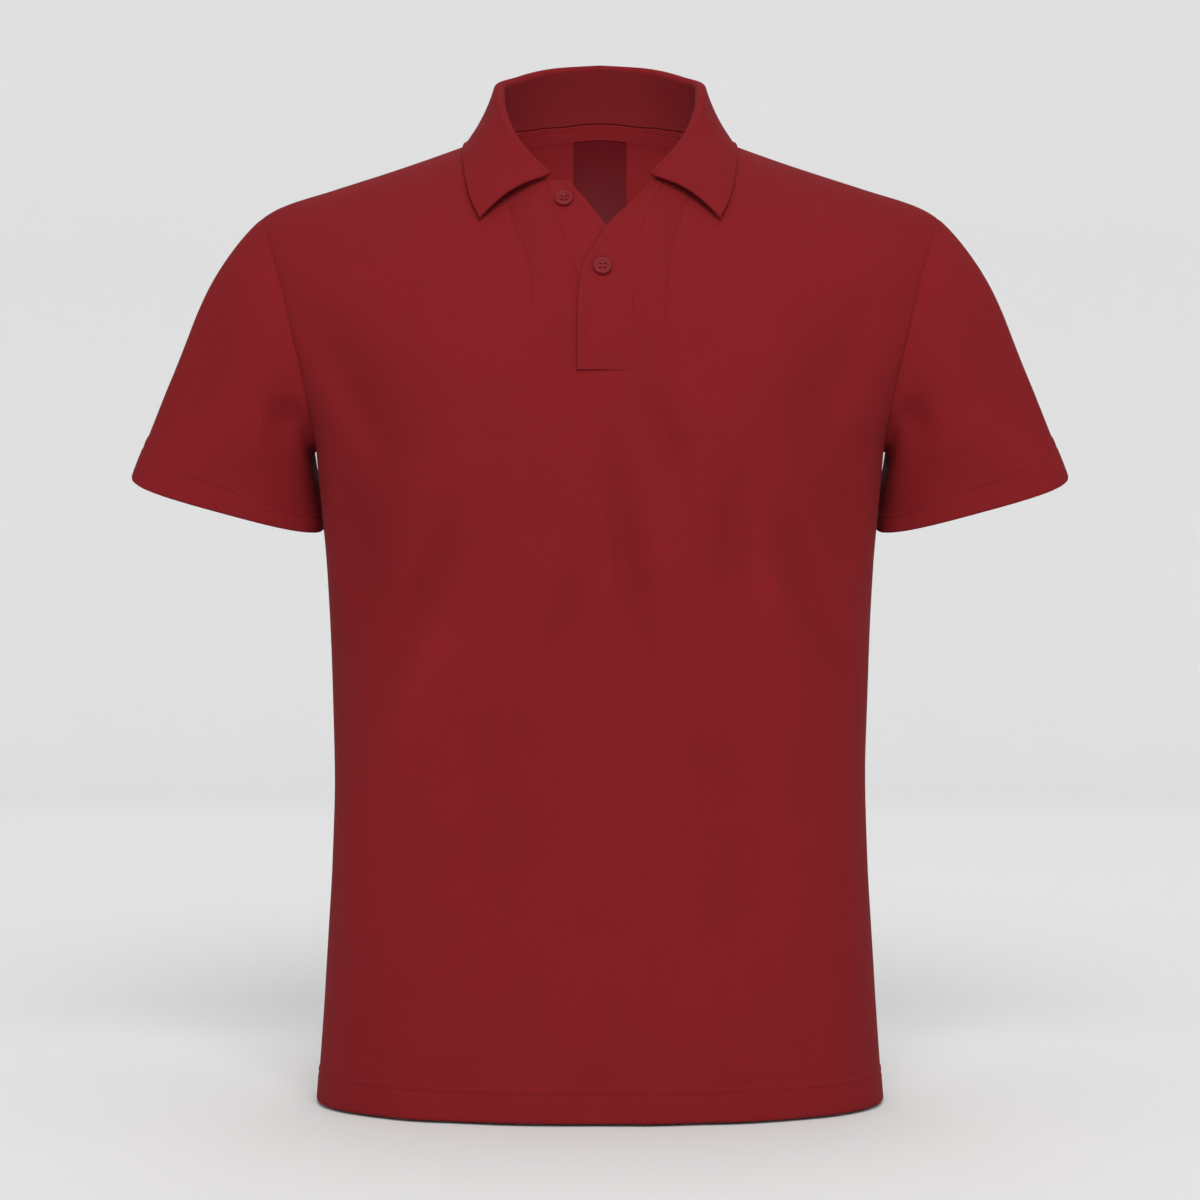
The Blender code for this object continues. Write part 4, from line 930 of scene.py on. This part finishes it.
def sleeve_sheet(name, loop, mirror):
    """A sleeve, and which of its rings its two rows of hem stitches follow."""
    sleeve = Sleeve(loop)
    shares = sleeve.shares()
    points = hermite(shares[:, None, None], sleeve.loop, sleeve.leave, sleeve.cuff, sleeve.arrive)
    plain = Sheet(name, points, ring=True)
    points, relief = sleeve.folded(points, plain.normals.reshape(points.shape) * -1, shares)
    if mirror:
        points = points * MIRROR
    else:
        points, relief = points[:, ::-1], relief[:, ::-1]
    sheet = Sheet(name, points, ring=True)
    sheet.relief = relief.ravel()
    to_cuff, to_armhole = (np.repeat(part * sleeve.length, sheet.shape[1]) for part in (1 - shares, shares))
    sheet.outward = hem_outward(to_cuff, SLEEVE_HEM_ROWS, SLEEVE_HEM_STEP)
    sheet.outward -= SEAM_DIP * bell(to_armhole, SEAM_ROLL)
    rings = [int(np.argmin(np.abs((1 - shares) * sleeve.length - row))) for row in SLEEVE_HEM_ROWS]
    return sheet, rings


# ---- The placket ----
def strip_sheet(name, left_x, right_x, seam_z, offset_left, offset_right):
    """A placket strip between two edges. seam_z gives its rows, and the offsets how far out its edges lie."""
    shares = shares_with_edges(STRIP_CELLS, STRIP_WAY)
    top = seam_z[-1]
    end = np.full(len(shares), top)
    for _ in range(20):
        end = FRONT.neckline_z(np.abs(left_x(end) + shares * (right_x(end) - left_x(end))))
    climb = end - top
    offset = offset_left + shares * (offset_right - offset_left)
    rows = []
    for z in seam_z:
        lap = 1 - ease((z - LAP_TOP_Z) / LAP_FADE)
        rise = (z - seam_z[0]) / (top - seam_z[0])
        level = z + climb * ease((rise - 0.5) * 2)
        x = left_x(level) + shares * (right_x(level) - left_x(level))
        rows.append(FRONT.above(x, level, offset[:, None] * lap))
    return Sheet(name, np.array(rows), STRIP)


def strip_outward(sheet, free_at_left):
    """The outer face of a placket strip: rolled edges, and the rows of stitches beside them."""
    width = sheet.across[:, -1:]
    to_free = sheet.across if free_at_left else width - sheet.across
    height = sheet.points[:, 2].reshape(sheet.shape)
    out = STRIP / 2 + EDGE_SWELL * ease(1 - to_free / EDGE_SWELL_WAY) * ease(to_free / EDGE_SWELL_START)
    out -= STRIP_GROOVE * bell(to_free - EDGE_STITCH, GROOVE_WIDTH) + rounded(to_free, STRIP, EDGE_ROUND)
    out -= STRIP_DIP * bell(width - to_free, STRIP_ROLL)
    for level in BOX_STITCH_Z:
        out -= STRIP_GROOVE * bell(height - level, GROOVE_WIDTH)
    return out.ravel()


# ---- The collar ----
def neck_seam(front_grid, back_grid, slot_column):
    """The neck seam's points from the middle of the back round to the collar's front end at positive X."""
    middle = back_grid.shape[1] // 2
    back = back_grid[-1, middle - NECK_CELLS : middle + 1][::-1]
    end = slot_column - NECK_CELLS - len(EDGE_STEPS)
    front = mirrored(front_grid[-1:, end : slot_column + 1])[0][::-1]
    return np.concatenate([back, front[1:]])


def collar_sheet(seam, garment):
    """Rows go round the neck and columns from the neck seam over the fold to the leaf's free edge."""
    way = way_along(seam)
    along = way / way[-1]
    get = {n: curve(COLLAR_STATIONS, COLLAR_COLUMNS, "along", n)(along) for n in COLLAR_COLUMNS[1:]}
    crest = np.stack([get["crest_x"], get["crest_y"], get["crest_z"]], axis=1)
    edge = np.stack([get["edge_x"], get["edge_y"], get["edge_z"]], axis=1)
    stand_shares = shares_with_edges(STAND_CELLS, STAND_WAY, end=False)[:-1]
    leaf_shares = shares_with_edges(LEAF_CELLS, LEAF_WAY, start=False)[1:]
    rows = []
    for foot, top, rim, radius, sag in zip(seam, crest, edge, get["fold_radius"], get["sag"]):
        up = unit(top - foot)
        away = rim - top
        away = unit(away - up * (away @ up))
        foot = foot + up * COLLAR_LIFT
        centre = top - up * radius
        turns = np.linspace(0.0, math.pi, FOLD_CELLS + 1)
        fold = [centre + radius * (up * math.sin(a) + away * (1 - math.cos(a))) for a in turns]
        stand = [foot + (fold[0] - foot) * s for s in stand_shares]
        start = fold[-1]
        fall = unit(rim - start)
        bend = (start + rim) / 2 - sag * unit(away - fall * (away @ fall))
        leaf = [(1 - s) ** 2 * start + 2 * s * (1 - s) * bend + s * s * rim for s in leaf_shares]
        rows.append(stand + fold + leaf)
    half = np.array(rows)
    back = unit(half[:-1] - half[1:])
    drawn = ease((along[1:] - FRONT_BOW_START) / (1 - FRONT_BOW_START))[:, None]
    bow = np.zeros(half.shape[1])
    bow[-len(leaf_shares) :] = FRONT_BOW * np.sin(np.pi * leaf_shares)
    half[1:] += back * (drawn * bow)[..., None]
    clear = COLLAR / 2 + 2 * CLEARANCE
    for row in half:
        for k in range(len(row) - len(leaf_shares), len(row)):
            row[k] = lifted_clear(row[k], garment, clear)
    sheet = Sheet("collar", np.concatenate([half[::-1], half[1:] * MIRROR]), COLLAR)
    sheet.outward = collar_outward(sheet)
    return sheet


def lifted_clear(point, surface, clearance):
    """The point, moved out along the garment's normal if it is nearer than the clearance."""
    for _ in range(4):
        nearest, normal, _, _ = surface.find_nearest(Vector(point))
        apart = Vector(point) - nearest
        height = apart.dot(normal)
        beside = (apart - normal * height).length
        if beside > clearance or height >= clearance:
            break
        point = np.array(Vector(point) + normal * (clearance - height))
    return point


def collar_outward(sheet):
    """The leaf's selvedge: a fine raised border along its free edge and its two front ends."""
    to_edge = sheet.across[:, -1:] - sheet.across
    to_end = np.minimum(sheet.up, sheet.up[-1:] - sheet.up)
    near = np.minimum(to_edge, to_end)
    place, depth, width = SELVEDGE
    return (COLLAR / 2 - depth * bell(near - place, width) - rounded(near, COLLAR, EDGE_ROUND)).ravel()


# ---- Inside the back neck ----
def inner_patch(name, half_width, columns, drops, wall, thickness):
    """A patch on the inside of the back. drops says how far its rows lie below the neckline."""
    x = np.linspace(-half_width, half_width, columns)
    rows = []
    for drop in drops:
        rows.append(BACK.above(x, BACK.neckline_z(np.abs(x)) - drop, -PATCH_SEARCH))
    points = np.array(rows)[:, ::-1]
    for row in points:
        for k, point in enumerate(row):
            place, normal, _, _ = wall.find_nearest(Vector(point))
            row[k] = place - normal * (PATCH_GAP + thickness / 2)
    return Sheet(name, points, thickness)


# ---- Stitches ----
def add_tube(points, faces, rings):
    """A closed tube through rings, each a centre and two directions as long as its radius."""
    base = len(points)
    turns = [2 * math.pi * s / TUBE_SIDES for s in range(TUBE_SIDES)]
    for centre, beside, upward in rings:
        points += [tuple(centre + beside * math.cos(turn) + upward * math.sin(turn)) for turn in turns]
    last = len(points) - TUBE_SIDES
    for ring in range(base, last, TUBE_SIDES):
        for s in range(TUBE_SIDES):
            a, b = ring + s, ring + (s + 1) % TUBE_SIDES
            faces.append((a, b, b + TUBE_SIDES, a + TUBE_SIDES))
    faces.append(tuple(range(base + TUBE_SIDES - 1, base - 1, -1)))
    faces.append(tuple(range(last, last + TUBE_SIDES)))


def stitch_row(path, surface, stitch=STITCH, radius=THREAD_RADIUS):
    """Small capsules of thread along a path of points, laid on the surface."""
    way = way_along(path)
    count = max(int(way[-1] / STITCH_PITCH), 1)
    points, faces = [], []
    for k in range(count):
        start = (k + 0.5) * way[-1] / count - stitch / 2
        seats = []
        for share, _ in STITCH_RINGS:
            at = np.clip(start + share * stitch, 0.0, way[-1])
            guess = [np.interp(at, way, path[:, i]) for i in range(3)]
            place, normal, _, _ = surface.find_nearest(Vector(guess), STITCH_REACH)
            if place is None:
                break
            seats.append((np.array(place), np.array(normal)))
        if len(seats) < len(STITCH_RINGS):
            continue
        ahead = unit(seats[-1][0] - seats[0][0])
        rings = []
        for (place, normal), (share, size) in zip(seats, STITCH_RINGS):
            dive = (1 - math.sin(math.pi * share)) * STITCH_DIVE
            centre = place + normal * radius * (1 - STITCH_SINK - dive)
            rings.append((centre, radius * size * unit(np.cross(normal, ahead)), radius * size * normal))
        add_tube(points, faces, rings)
    return points, faces


def add_stitches(name, rows, finish):
    """Rows of stitches as one piece."""
    points, faces = [], []
    for row_points, row_faces in rows:
        start = len(points)
        points += row_points
        faces += [tuple(v + start for v in face) for face in row_faces]
    return declare(add_mesh(name, points, faces, finish), "pique")


def hem_path(side, height):
    x = side.edge_x(HEM_Z + height) * np.linspace(-HEM_PATH_END, HEM_PATH_END, 2 * PATH_POINTS)
    return side.point(x, np.full_like(x, HEM_Z + height))


def placket_path(x, z):
    """Points a little outside the placket."""
    return FRONT.above(*np.broadcast_arrays(x, z), OUTSIDE)


def upright_path(x_of, low, high):
    z = np.linspace(low, high, PATH_POINTS)
    return placket_path(x_of(z), z)


def placket_rows(upper, under, upper_face, under_face):
    """The placket's stitches: beside its edges, across its foot, round the buttonhole, on the under strip."""
    low, high = BOX_STITCH_Z[0], upper.points[:, 2].max() - TOP_FREE
    rows = [stitch_row(upright_path(lambda z: upper_edge_x(z) + EDGE_STITCH, low, high), upper_face)]
    for level in BOX_STITCH_Z:
        x = np.linspace(upper_edge_x(level) + BOX_STITCH_END, upper_seam_x(level) - BOX_STITCH_END, 40)
        rows.append(stitch_row(placket_path(x, level), upper_face))
    # Close short stitches down both sides of the upright hole that the lower button is through.
    for z in np.arange(*BUTTONHOLE_Z, BUTTONHOLE_PITCH):
        for side in (-1, 1):
            x = BUTTONHOLE_X + side * np.array(BUTTONHOLE_SIDE)
            rows.append(stitch_row(placket_path(x, z), upper_face, *BUTTONHOLE_STITCH))
    high = under.points[:, 2].max() - TOP_FREE
    paths = (lambda z: under_seam_x(z) + SEAM_STITCH, lambda z: under_edge_x(z) - EDGE_STITCH)
    for x_of, low in zip(paths, UNDER_STITCH_Z):
        rows.append(stitch_row(upright_path(x_of, low, high), under_face))
    return rows


# ---- Buttons ----
def button_mesh(name, finish):
    """A turned button, its profile revolved, with four thread holes cut through."""
    mesh = bpy.data.meshes.new(name)
    profile = [(r, 0.0, h * BUTTON_HEIGHT) for r, h in BUTTON_PROFILE]
    mesh.from_pydata(profile, [(i, i + 1) for i in range(len(profile) - 1)], [])
    turned = linked(name, mesh)
    screw = turned.modifiers.new("turned", "SCREW")
    screw.steps = screw.render_steps = BUTTON_SEGMENTS
    screw.use_merge_vertices = True
    screw.merge_threshold = 0.00001
    cutters = []
    for across, along in ((-1, -1), (-1, 1), (1, -1), (1, 1)):
        bpy.ops.mesh.primitive_cylinder_add(
            vertices=BUTTON_HOLE_SIDES,
            radius=BUTTON_HOLE_RADIUS,
            depth=4 * BUTTON_HEIGHT,
            location=(across * BUTTON_HOLE_OFFSET, along * BUTTON_HOLE_OFFSET, 0.0),
        )
        cutters.append(bpy.context.object)
        cut = turned.modifiers.new("hole", "BOOLEAN")
        cut.operation = "DIFFERENCE"
        cut.object = cutters[-1]
    made = bpy.data.meshes.new_from_object(turned.evaluated_get(bpy.context.evaluated_depsgraph_get()))
    for old in [turned, *cutters]:
        bpy.data.objects.remove(old)
    made.name = name
    made.materials.clear()
    made.materials.append(finish)
    made.shade_smooth()
    made.set_sharp_from_angle(angle=math.radians(35))
    return made


def button_place(node):
    """Where a button's solid lies: the middle of its back, and its axis."""
    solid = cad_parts[node]
    points = np.array([v.co for v in solid.data.vertices])
    middle = points.mean(axis=0)
    _, _, axes = np.linalg.svd(points - middle)
    axis = axes[2] if axes[2][1] < 0 else -axes[2]
    heights = (points - middle) @ axis
    foot = middle + axis * heights.min()
    ring = points[heights < heights.min() + BUTTON_BACK]
    centre = ring.mean(axis=0)
    return centre + axis * ((foot - centre) @ axis), axis


def add_button(name, node, button_finish, thread_finish):
    """A detailed button on its solid's place, and the thread that sews it on."""
    centre, axis = button_place(node)
    turned = Vector(axis).to_track_quat("Z", "Y")
    mesh = button_mesh(name, button_finish)
    for vertex in mesh.vertices:
        vertex.co = turned @ vertex.co + Vector(centre)
    made = linked(name, mesh)
    points, faces = [], []
    half = BUTTON_HOLE_OFFSET
    for along in (-half, half):
        for aside in (-STRAND_APART, 0.0, STRAND_APART):
            add_strand(points, faces, (-half, along + aside), (half, along + aside * 0.6), STRAND_RISE)
    for aside in (-CROSS_APART, CROSS_APART):
        add_strand(points, faces, (aside - half * 0.2, -half), (aside + half * 0.2, half), CROSS_RISE)
    points = [tuple(turned @ Vector(point) + Vector(centre)) for point in points]
    return made, add_mesh(name + "_thread", points, faces, thread_finish)


def add_strand(points, faces, start, end, rise):
    """One strand over a button that lies flat, which dips into a hole at each end."""
    start, end, upward = Vector((*start, 0)), Vector((*end, 0)), Vector((0, 0, 1))
    beside = upward.cross((end - start).normalized())
    rings = []
    for i in range(STRAND_STEPS + 1):
        share = i / STRAND_STEPS
        height = STRAND_LIFT - STRAND_DIP + rise * math.sin(math.pi * share) ** 0.5
        middle = start.lerp(end, share) + upward * min(height, STRAND_LIFT + STRAND_TOP)
        rings.append((middle, STRAND_RADIUS * beside, STRAND_RADIUS * upward))
    add_tube(points, faces, rings)


# ---- Materials ----
class Nodes:
    """Short calls for the nodes of one material."""

    def __init__(self, name):
        self.material = bpy.data.materials.new(name)
        self.material.use_nodes = True
        self.tree = self.material.node_tree
        self.shader = self.tree.nodes["Principled BSDF"]
        self.place = self.node("ShaderNodeTexCoord").outputs["Object"]

    def node(self, kind, *values, **settings):
        """A new node with its settings, and with the values fed to its first inputs."""
        made = self.tree.nodes.new(kind)
        for key, value in settings.items():
            setattr(made, key, value)
        for socket, value in zip(made.inputs, values):
            self.feed(socket, value)
        return made

    def feed(self, socket, value):
        if isinstance(value, bpy.types.NodeSocket):
            self.tree.links.new(value, socket)
        else:
            socket.default_value = value

    def math(self, operation, *values):
        return self.node("ShaderNodeMath", *values, operation=operation).outputs[0]

    def fitted(self, value, gain, shift):
        """The value times gain plus shift."""
        return self.math("MULTIPLY_ADD", value, gain, shift)

    def clamped(self, value, gain, shift):
        """The same, held between 0 and 1."""
        return self.node("ShaderNodeClamp", self.fitted(value, gain, shift)).outputs[0]

    def parts(self, vector):
        return self.node("ShaderNodeSeparateXYZ", vector).outputs

    def cloth(self):
        """The place on the cloth, in metres across and up."""
        return self.parts(self.node("ShaderNodeUVMap", uv_map="cloth").outputs["UV"])

    def noise(self, scale, detail=2.0, roughness=0.5):
        made = self.node("ShaderNodeTexNoise", self.place)
        for name, value in (("Scale", scale), ("Detail", detail), ("Roughness", roughness)):
            made.inputs[name].default_value = value
        return made.outputs["Fac"]

    def mix(self, share, one, other):
        made = self.node("ShaderNodeMix", share, data_type="RGBA")
        for socket, value in ((made.inputs[6], one), (made.inputs[7], other)):
            self.feed(socket, value if isinstance(value, bpy.types.NodeSocket) else (*value, 1.0))
        return made.outputs[2]

    def toned(self, share, colour, dark, pale):
        """From a dark to a pale tone of one colour."""
        return self.mix(share, *([part * factor for part in colour] for factor in (dark, pale)))

    def scaled(self, colour, factor):
        made = self.node("ShaderNodeVectorMath", colour, operation="SCALE")
        made.inputs["Scale"].default_value = factor
        return made.outputs[0]

    def bump(self, height, distance, strength):
        made = self.node("ShaderNodeBump")
        for name, value in (("Distance", distance), ("Strength", strength), ("Height", height)):
            self.feed(made.inputs[name], value)
        self.feed(self.shader.inputs["Normal"], made.outputs["Normal"])

    def finish(self, colour, roughness, specular, sheen=0.0, sheen_tint=(1.0, 1.0, 1.0)):
        self.feed(self.shader.inputs["Base Color"], colour)
        self.feed(self.shader.inputs["Roughness"], roughness)
        self.shader.inputs["Sheen Weight"].default_value = sheen
        self.shader.inputs["Sheen Roughness"].default_value = 0.5
        self.shader.inputs["Sheen Tint"].default_value = (*sheen_tint, 1.0)
        self.shader.inputs["Specular IOR Level"].default_value = specular
        return self.material


def knit(name, colour, loops, ribbed=False, painted_shade_to=None):
    """A knitted cloth: raised loops in rows or in ribs, slightly mottled.

    Up to the width that its last argument gives, it is painted darker: a painted shade on the inside of a
    collar's stand.
    """
    across, along, depth = loops
    nodes = Nodes(name)
    u, v, _ = nodes.cloth()
    wander = nodes.fitted(nodes.noise(WANDER_SCALE, 0.0), WANDER, -WANDER / 2)
    columns = nodes.math("COSINE", nodes.fitted(u, 2 * math.pi / across, wander))
    rows = nodes.math("COSINE", nodes.fitted(v, 2 * math.pi / along, wander))
    row_share, gain = (0.3, 0.38) if ribbed else (1.0, 0.25)
    height = nodes.fitted(nodes.fitted(rows, row_share, columns), gain, 0.5)
    height = nodes.fitted(nodes.noise(FIBRE_SCALE, 0.0), FIBRE, height)
    grain = nodes.noise(GRAIN_SCALE, 1.0)
    mottle = nodes.math("MULTIPLY", nodes.noise(MOTTLE_SCALE, 2.0, 0.6), MOTTLE)
    # Painted shade: the loops' low places are drawn darker; grain and mottle are the yarn's own uneven tone.
    shade = nodes.fitted(grain, GRAIN, nodes.fitted(height, LOOP_PAINTED_SHADE, mottle))
    tone = nodes.toned(shade, colour, *KNIT_TONES)
    # Painted shade: the collar's stand is drawn in a darker red up to the given width, where it lies in shade
    # at the neck's inside.
    if painted_shade_to is not None:
        beyond = nodes.clamped(u, STAND_PAINTED_SHADE_FADE, 0.5 - STAND_PAINTED_SHADE_FADE * painted_shade_to)
        tone = nodes.mix(beyond, nodes.toned(shade, STAND_PAINTED_SHADE_RED, *KNIT_TONES), tone)
    # Painted shade in the folds' troughs and a painted highlight on their ridges, following each point's fold
    # height.
    relief = nodes.node("ShaderNodeAttribute", attribute_name="relief").outputs["Fac"]
    crest = nodes.clamped(relief, 0.5 / PAINTED_FOLD_SHADE_REACH, 0.5)
    tone = nodes.mix(crest, *(nodes.scaled(tone, 1 + share) for share in PAINTED_FOLD_SHADE_TONES))
    nodes.bump(height, depth, 0.55)
    return nodes.finish(tone, nodes.fitted(grain, 0.12, 0.78), 0.04, 0.02, (1.0, 0.45, 0.4))


def woven_label():
    """A satin label with a fine weave."""
    nodes = Nodes("label_satin")
    weft = nodes.math("SINE", nodes.math("MULTIPLY", nodes.cloth()[1], 2 * math.pi / WEFT_PITCH))
    grain = nodes.noise(500.0)
    nodes.bump(nodes.fitted(weft, 0.3, grain), 0.0001, 0.4)
    return nodes.finish(nodes.toned(grain, LABEL_RED, 0.8, 1.3), 0.55, 0.12)


def thread_finish():
    nodes = Nodes("thread")
    grain = nodes.noise(1400.0)
    nodes.bump(grain, 0.0001, 0.5)
    return nodes.finish(nodes.toned(grain, THREAD_RED, 0.75, 1.35), 0.65, 0.10, 0.03, (1.0, 0.5, 0.45))


def button_finish():
    """Dyed resin with a faint swirl."""
    nodes = Nodes("button_resin")
    swirl = nodes.toned(nodes.noise(160.0, 3.0, 0.55), BUTTON_RED, 0.82, 1.25)
    nodes.bump(nodes.noise(1200.0), 0.00005, 0.3)
    return nodes.finish(swirl, nodes.fitted(nodes.noise(900.0), 0.12, 0.42), 0.14)


def backdrop_finish():
    """Matt paper, whose wall is a little darker than the floor but glows more the further off it is."""
    nodes = Nodes("backdrop")
    height = nodes.parts(nodes.place)[2]
    share = nodes.clamped(height, 1 / WALL_TONE_HEIGHT, -FLOOR_Z / WALL_TONE_HEIGHT)
    distance = nodes.node("ShaderNodeVectorMath", nodes.place, operation="LENGTH").outputs["Value"]
    glow = nodes.mix(nodes.clamped(distance, 0.5, -0.5), (0.0, 0.0, 0.0), WALL_GLOW)
    nodes.feed(nodes.shader.inputs["Emission Color"], glow)
    nodes.shader.inputs["Emission Strength"].default_value = 1.0
    nodes.material.cycles.emission_sampling = "NONE"
    return nodes.finish(nodes.mix(share, BACKDROP_FLOOR, BACKDROP_WALL), 0.95, 0.0)


# ---- Stage ----
def add_camera():
    data = bpy.data.cameras.new("camera")
    data.lens = CAMERA_LENS
    data.sensor_width = CAMERA_SENSOR
    data.clip_end = 60.0
    camera = linked("camera", data)
    camera.location = CAMERA_PLACE
    camera.rotation_euler = (math.pi / 2, 0.0, 0.0)
    bpy.context.scene.camera = camera


def add_backdrop():
    """A pale floor that curves up into a wall all round, so that it shows behind the shirt from any side."""
    profile = [(BACKDROP_FLAT, 0.0)]
    for k in range(1, BACKDROP_BEND_STEPS + 1):
        turn = k / BACKDROP_BEND_STEPS * math.pi / 2
        rise = BACKDROP_BEND * (1 - math.cos(turn))
        profile.append((BACKDROP_FLAT + BACKDROP_BEND * math.sin(turn), rise))
    profile.append((BACKDROP_FLAT + BACKDROP_BEND, BACKDROP_TOP))
    count = BACKDROP_SEGMENTS
    turns = [2 * math.pi * s / count for s in range(count)]
    points = [(0.0, 0.0, FLOOR_Z)]
    for radius, height in profile:
        points += [(radius * math.cos(turn), radius * math.sin(turn), FLOOR_Z + height) for turn in turns]
    faces = [(0, 1 + s, 1 + (s + 1) % count) for s in range(count)]
    for ring in range(1, len(points) - count, count):
        for s in range(count):
            a, b = ring + s, ring + (s + 1) % count
            faces.append((a, a + count, b + count, b))
    add_mesh("backdrop", points, faces, backdrop_finish())


def add_light(name, place, target, size, power):
    data = bpy.data.lights.new(name, "AREA")
    data.shape = "RECTANGLE"
    data.size, data.size_y = size
    data.energy = power
    light = linked(name, data)
    light.location = place
    light.rotation_euler = (Vector(target) - Vector(place)).to_track_quat("-Z", "Y").to_euler()
    light.visible_camera = False


def add_lights():
    """A pale dome and four soft lights: large in front, overhead, weak behind, and small inside the neck."""
    bpy.context.scene.view_settings.view_transform = "Standard"
    world = bpy.data.worlds.new("studio")
    bpy.context.scene.world = world
    world.use_nodes = True
    background = world.node_tree.nodes["Background"]
    background.inputs["Color"].default_value = (1.0, 1.0, 1.0, 1.0)
    background.inputs["Strength"].default_value = DOME
    for light in LIGHTS:
        add_light(*light)


# ---- Putting it together ----
def declare(piece, slot, *nodes):
    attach(piece, "root")
    if nodes:
        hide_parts(*nodes)
    return piece


def main():
    add_camera()
    pique = knit("pique_knit", SHIRT_RED, PIQUE_LOOPS)
    tape_knit = knit("tape_knit", TAPE_RED, TAPE_LOOPS)
    thread = thread_finish()
    resin = button_finish()

    def put(sheet, finish, slot):
        declare(add_sheet(sheet, finish), slot, sheet.name)

    front, front_grid, slot_row, slot_column = front_sheet()
    back, back_grid = back_sheet()
    loop = armhole(front_grid, back_grid)
    left, left_rings = sleeve_sheet("sleeve_left", loop, mirror=False)
    right, right_rings = sleeve_sheet("sleeve_right", loop, mirror=True)
    seam_z = front_grid[slot_row:, slot_column, 2]
    under = strip_sheet("placket_under", under_seam_x, under_edge_x, seam_z, 0.0, -LAP_OFFSET)
    under.outward = strip_outward(under, free_at_left=False)
    seam_z = front_grid[slot_row:, slot_column + SLOT_CELLS, 2]
    upper = strip_sheet("placket_upper", upper_edge_x, upper_seam_x, seam_z, LAP_OFFSET, 0.0)
    upper.outward = strip_outward(upper, free_at_left=True)
    sheets = [front, back, left, right, under, upper]
    share_seam_normals(sheets)
    for sheet in sheets:
        sheet.inset(SEAM_GAP / 2)
        put(sheet, pique, "pique")

    garment = surface_of([front, back, under, upper], STRIP / 2)
    collar = collar_sheet(neck_seam(front_grid, back_grid, slot_column), garment)
    collar.inset(SEAM_GAP / 2)
    # The collar's stand is painted darker, a painted shade, up to its fold's crest.
    crest = float(collar.across[collar.shape[0] // 2, STAND_CELLS + FOLD_CELLS // 2])
    put(collar, knit("collar_knit", RIB_RED, RIB_LOOPS, ribbed=True, painted_shade_to=crest), "collar_rib")

    wall = surface_of([back], -CLOTH / 2)
    tape = inner_patch("neck_tape", TAPE_HALF_WIDTH, 63, np.linspace(*TAPE_DROPS, 9), wall, TAPE)
    put(tape, tape_knit, "neck_tape")
    label = inner_patch("neck_label", LABEL_HALF_WIDTH, 21, np.linspace(*LABEL_DROPS, 31), wall, LABEL)
    put(label, woven_label(), "label")

    faces = {sheet.name: surface_of([sheet]) for sheet in sheets}
    hems = [(side, height) for side in (FRONT, BACK) for height in HEM_ROWS]
    rows = [stitch_row(hem_path(side, height), faces[side.name]) for side, height in hems]
    add_stitches("hem_stitches", rows, thread)
    for sheet, rings in ((left, left_rings), (right, right_rings)):
        grid = sheet.points.reshape(*sheet.shape, 3)
        loops = [np.concatenate([grid[ring], grid[ring][:1]]) for ring in rings]
        rows = [stitch_row(loop, faces[sheet.name]) for loop in loops]
        add_stitches(sheet.name + "_stitches", rows, thread)
    rows = placket_rows(upper, under, faces["placket_upper"], faces["placket_under"])
    add_stitches("placket_stitches", rows, thread)

    for node in ("button_lower", "button_top"):
        made, sewn = add_button(node + "_turned", node, resin, thread)
        declare(made, "button", node)
        declare(sewn, "button")

    add_backdrop()
    add_lights()


main()
